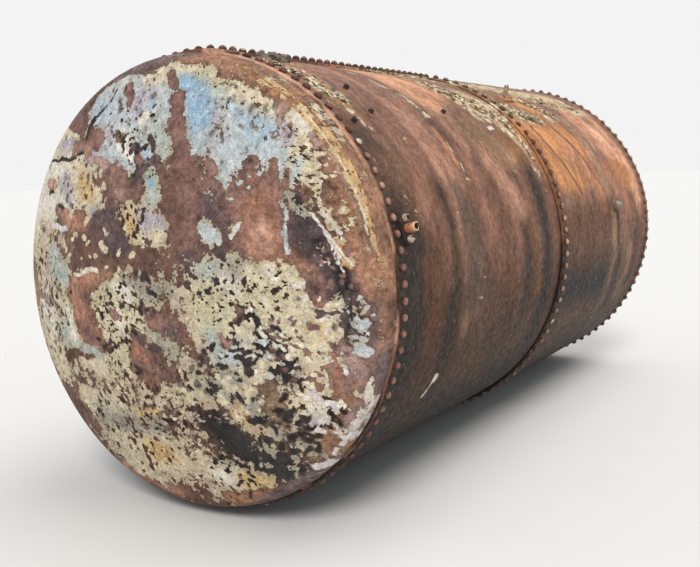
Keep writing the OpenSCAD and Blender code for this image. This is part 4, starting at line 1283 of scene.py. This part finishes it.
def add_boss():
    x, deg = MID_ROW + BOSS_X, BOSS_DEG
    saddle_plate("plug_boss", "far_boss", x, deg, FAR_R, outline(BOSS_WIDE, BOSS_WIDE, BOSS_WIDE / 2, 0),
                 BOSS_T, 87, "pale_iron", (138, 116, 104), bevel=0.003, rough=0.0014, cover=0.36,
                 paint=(190, 182, 172))
    collar = turned(x, deg, FAR_R, PLUG_COLLAR, 97, 40)
    square = turned(x, deg, FAR_R, PLUG_SQUARE, 98, 48, sides=4, rough=0.0006)
    standing("square_plug", "far_plug", [collar, square], "pale_iron", [(186, 178, 172)], 99, cover=0.6,
             paint=(206, 204, 202))


def add_stub_bolts():
    bolts = [turned(NEAR_ROW + behind, deg, NEAR_R, STUB_BOLT, 111 + i, 24, rough=0.0014)
             for i, (behind, deg) in enumerate(STUB_BOLTS)]
    standing("sheared_bolts", "stub_bolts", bolts, "dark_iron", [(72, 58, 54)], 121)


add_near_head()
add_far_head()
course_skin("near_course_skin", "near_course", NEAR_ROW - EDGE, MID_ROW + EDGE, NEAR_R,
            NEAR_SEAM_DEG, MID_ROW - EDGE, nx=166, nt=552, seed=61)
course_skin("far_course_skin", "far_course", MID_ROW - EDGE, FAR_ROW + EDGE, FAR_R,
            FAR_SEAM_DEG, FAR_ROW + EDGE, nx=162, nt=560, seed=83)
add_crust()
ring_of_rivets("near_ring", "near_head_rivets", NEAR_ROW, NEAR_R, NEAR_SEAM_DEG, 101, NEAR_TINTS,
               WHITE_RIVETS)
ring_of_rivets("mid_ring", "mid_seam_rivets", MID_ROW, FAR_R, FAR_SEAM_DEG, 102, MID_TINTS)
ring_of_rivets("far_ring", "far_head_rivets", FAR_ROW, FAR_R, FAR_SEAM_DEG, 103, FAR_TINTS)
line_of_rivets("near_line", "near_straight_seam_rivets", NEAR_ROW, MID_ROW, NEAR_SEAM_COUNT,
               NEAR_SEAM_DEG, NEAR_R, 104, NEAR_TINTS)
line_of_rivets("far_line", "far_straight_seam_rivets", MID_ROW, FAR_ROW, FAR_SEAM_COUNT,
               FAR_SEAM_DEG, FAR_R, 105, FAR_TINTS)
add_outlet()
add_pad()
add_lug()
add_boss()
add_stub_bolts()


# Light, floor, backdrop and camera

def add_floor(half=60):
    mesh = bpy.data.meshes.new("floor")
    mesh.from_pydata([(-half, -half, 0), (half, -half, 0), (half, half, 0), (-half, half, 0)], [],
                     [(0, 1, 2, 3)])
    material = bpy.data.materials.new("studio_floor")
    s = Shader(material)
    colour = s.mix(s.noise(3.0, 3.0, 0.5), (0.78, 0.77, 0.75), (0.80, 0.79, 0.77))
    s.fill(s.tree.nodes["Principled BSDF"], {"Base Color": colour, "Roughness": 0.9})
    mesh.materials.append(material)
    floor = link("floor", mesh)


def add_world():
    """A soft blue fill light behind a plain pale backdrop."""
    world = bpy.data.worlds.new("studio")
    bpy.context.scene.world = world
    s = Shader(world)
    s.tree.nodes.clear()
    path = s.new("LightPath").outputs
    seen = s.maths("MAXIMUM", path["Is Camera Ray"], path["Is Glossy Ray"])
    fill = s.fill(s.new("Background"), {"Color": (0.90, 0.95, 1.0, 1.0), "Strength": 0.5})
    backdrop = s.fill(s.new("Background"), {"Color": (0.9, 0.9, 0.9, 1.0), "Strength": 1.0})
    both = s.fill(s.new("MixShader"), {0: seen, 1: fill.outputs[0], 2: backdrop.outputs[0]})
    s.fill(s.new("OutputWorld"), {"Surface": both.outputs[0]})


def add_sun(name, place, strength, spread):
    """A soft sun that shines from that place towards the origin."""
    lamp = bpy.data.lights.new(name, "SUN")
    lamp.energy = strength
    lamp.angle = math.radians(spread)
    lamp.color = (1.0, 0.98, 0.95)
    link(name, lamp).rotation_euler = (-Vector(place)).to_track_quat("-Z", "Y").to_euler()


def add_camera():
    right = (0.52433194, -0.85083658, -0.03395793)
    up = (0.12610518, 0.03814958, 0.99128305)
    back = (-0.8421244, -0.52404363, 0.12729794)
    place = (-3.7585, -2.0502, 1.1620)
    camera = bpy.data.cameras.new("camera")
    camera.sensor_width = 36.0
    camera.lens = 47.57
    obj = link("camera", camera)
    obj.matrix_world = Matrix([*zip(right, up, back, place), (0, 0, 0, 1)])
    bpy.context.scene.camera = obj


bpy.context.scene.view_settings.view_transform = "Standard"
add_floor()
add_world()
add_sun("key", (-0.74, -0.38, 0.74), 1.9, 22)
add_sun("top", (0.30, -0.30, 1.0), 1.05, 50)
add_camera()
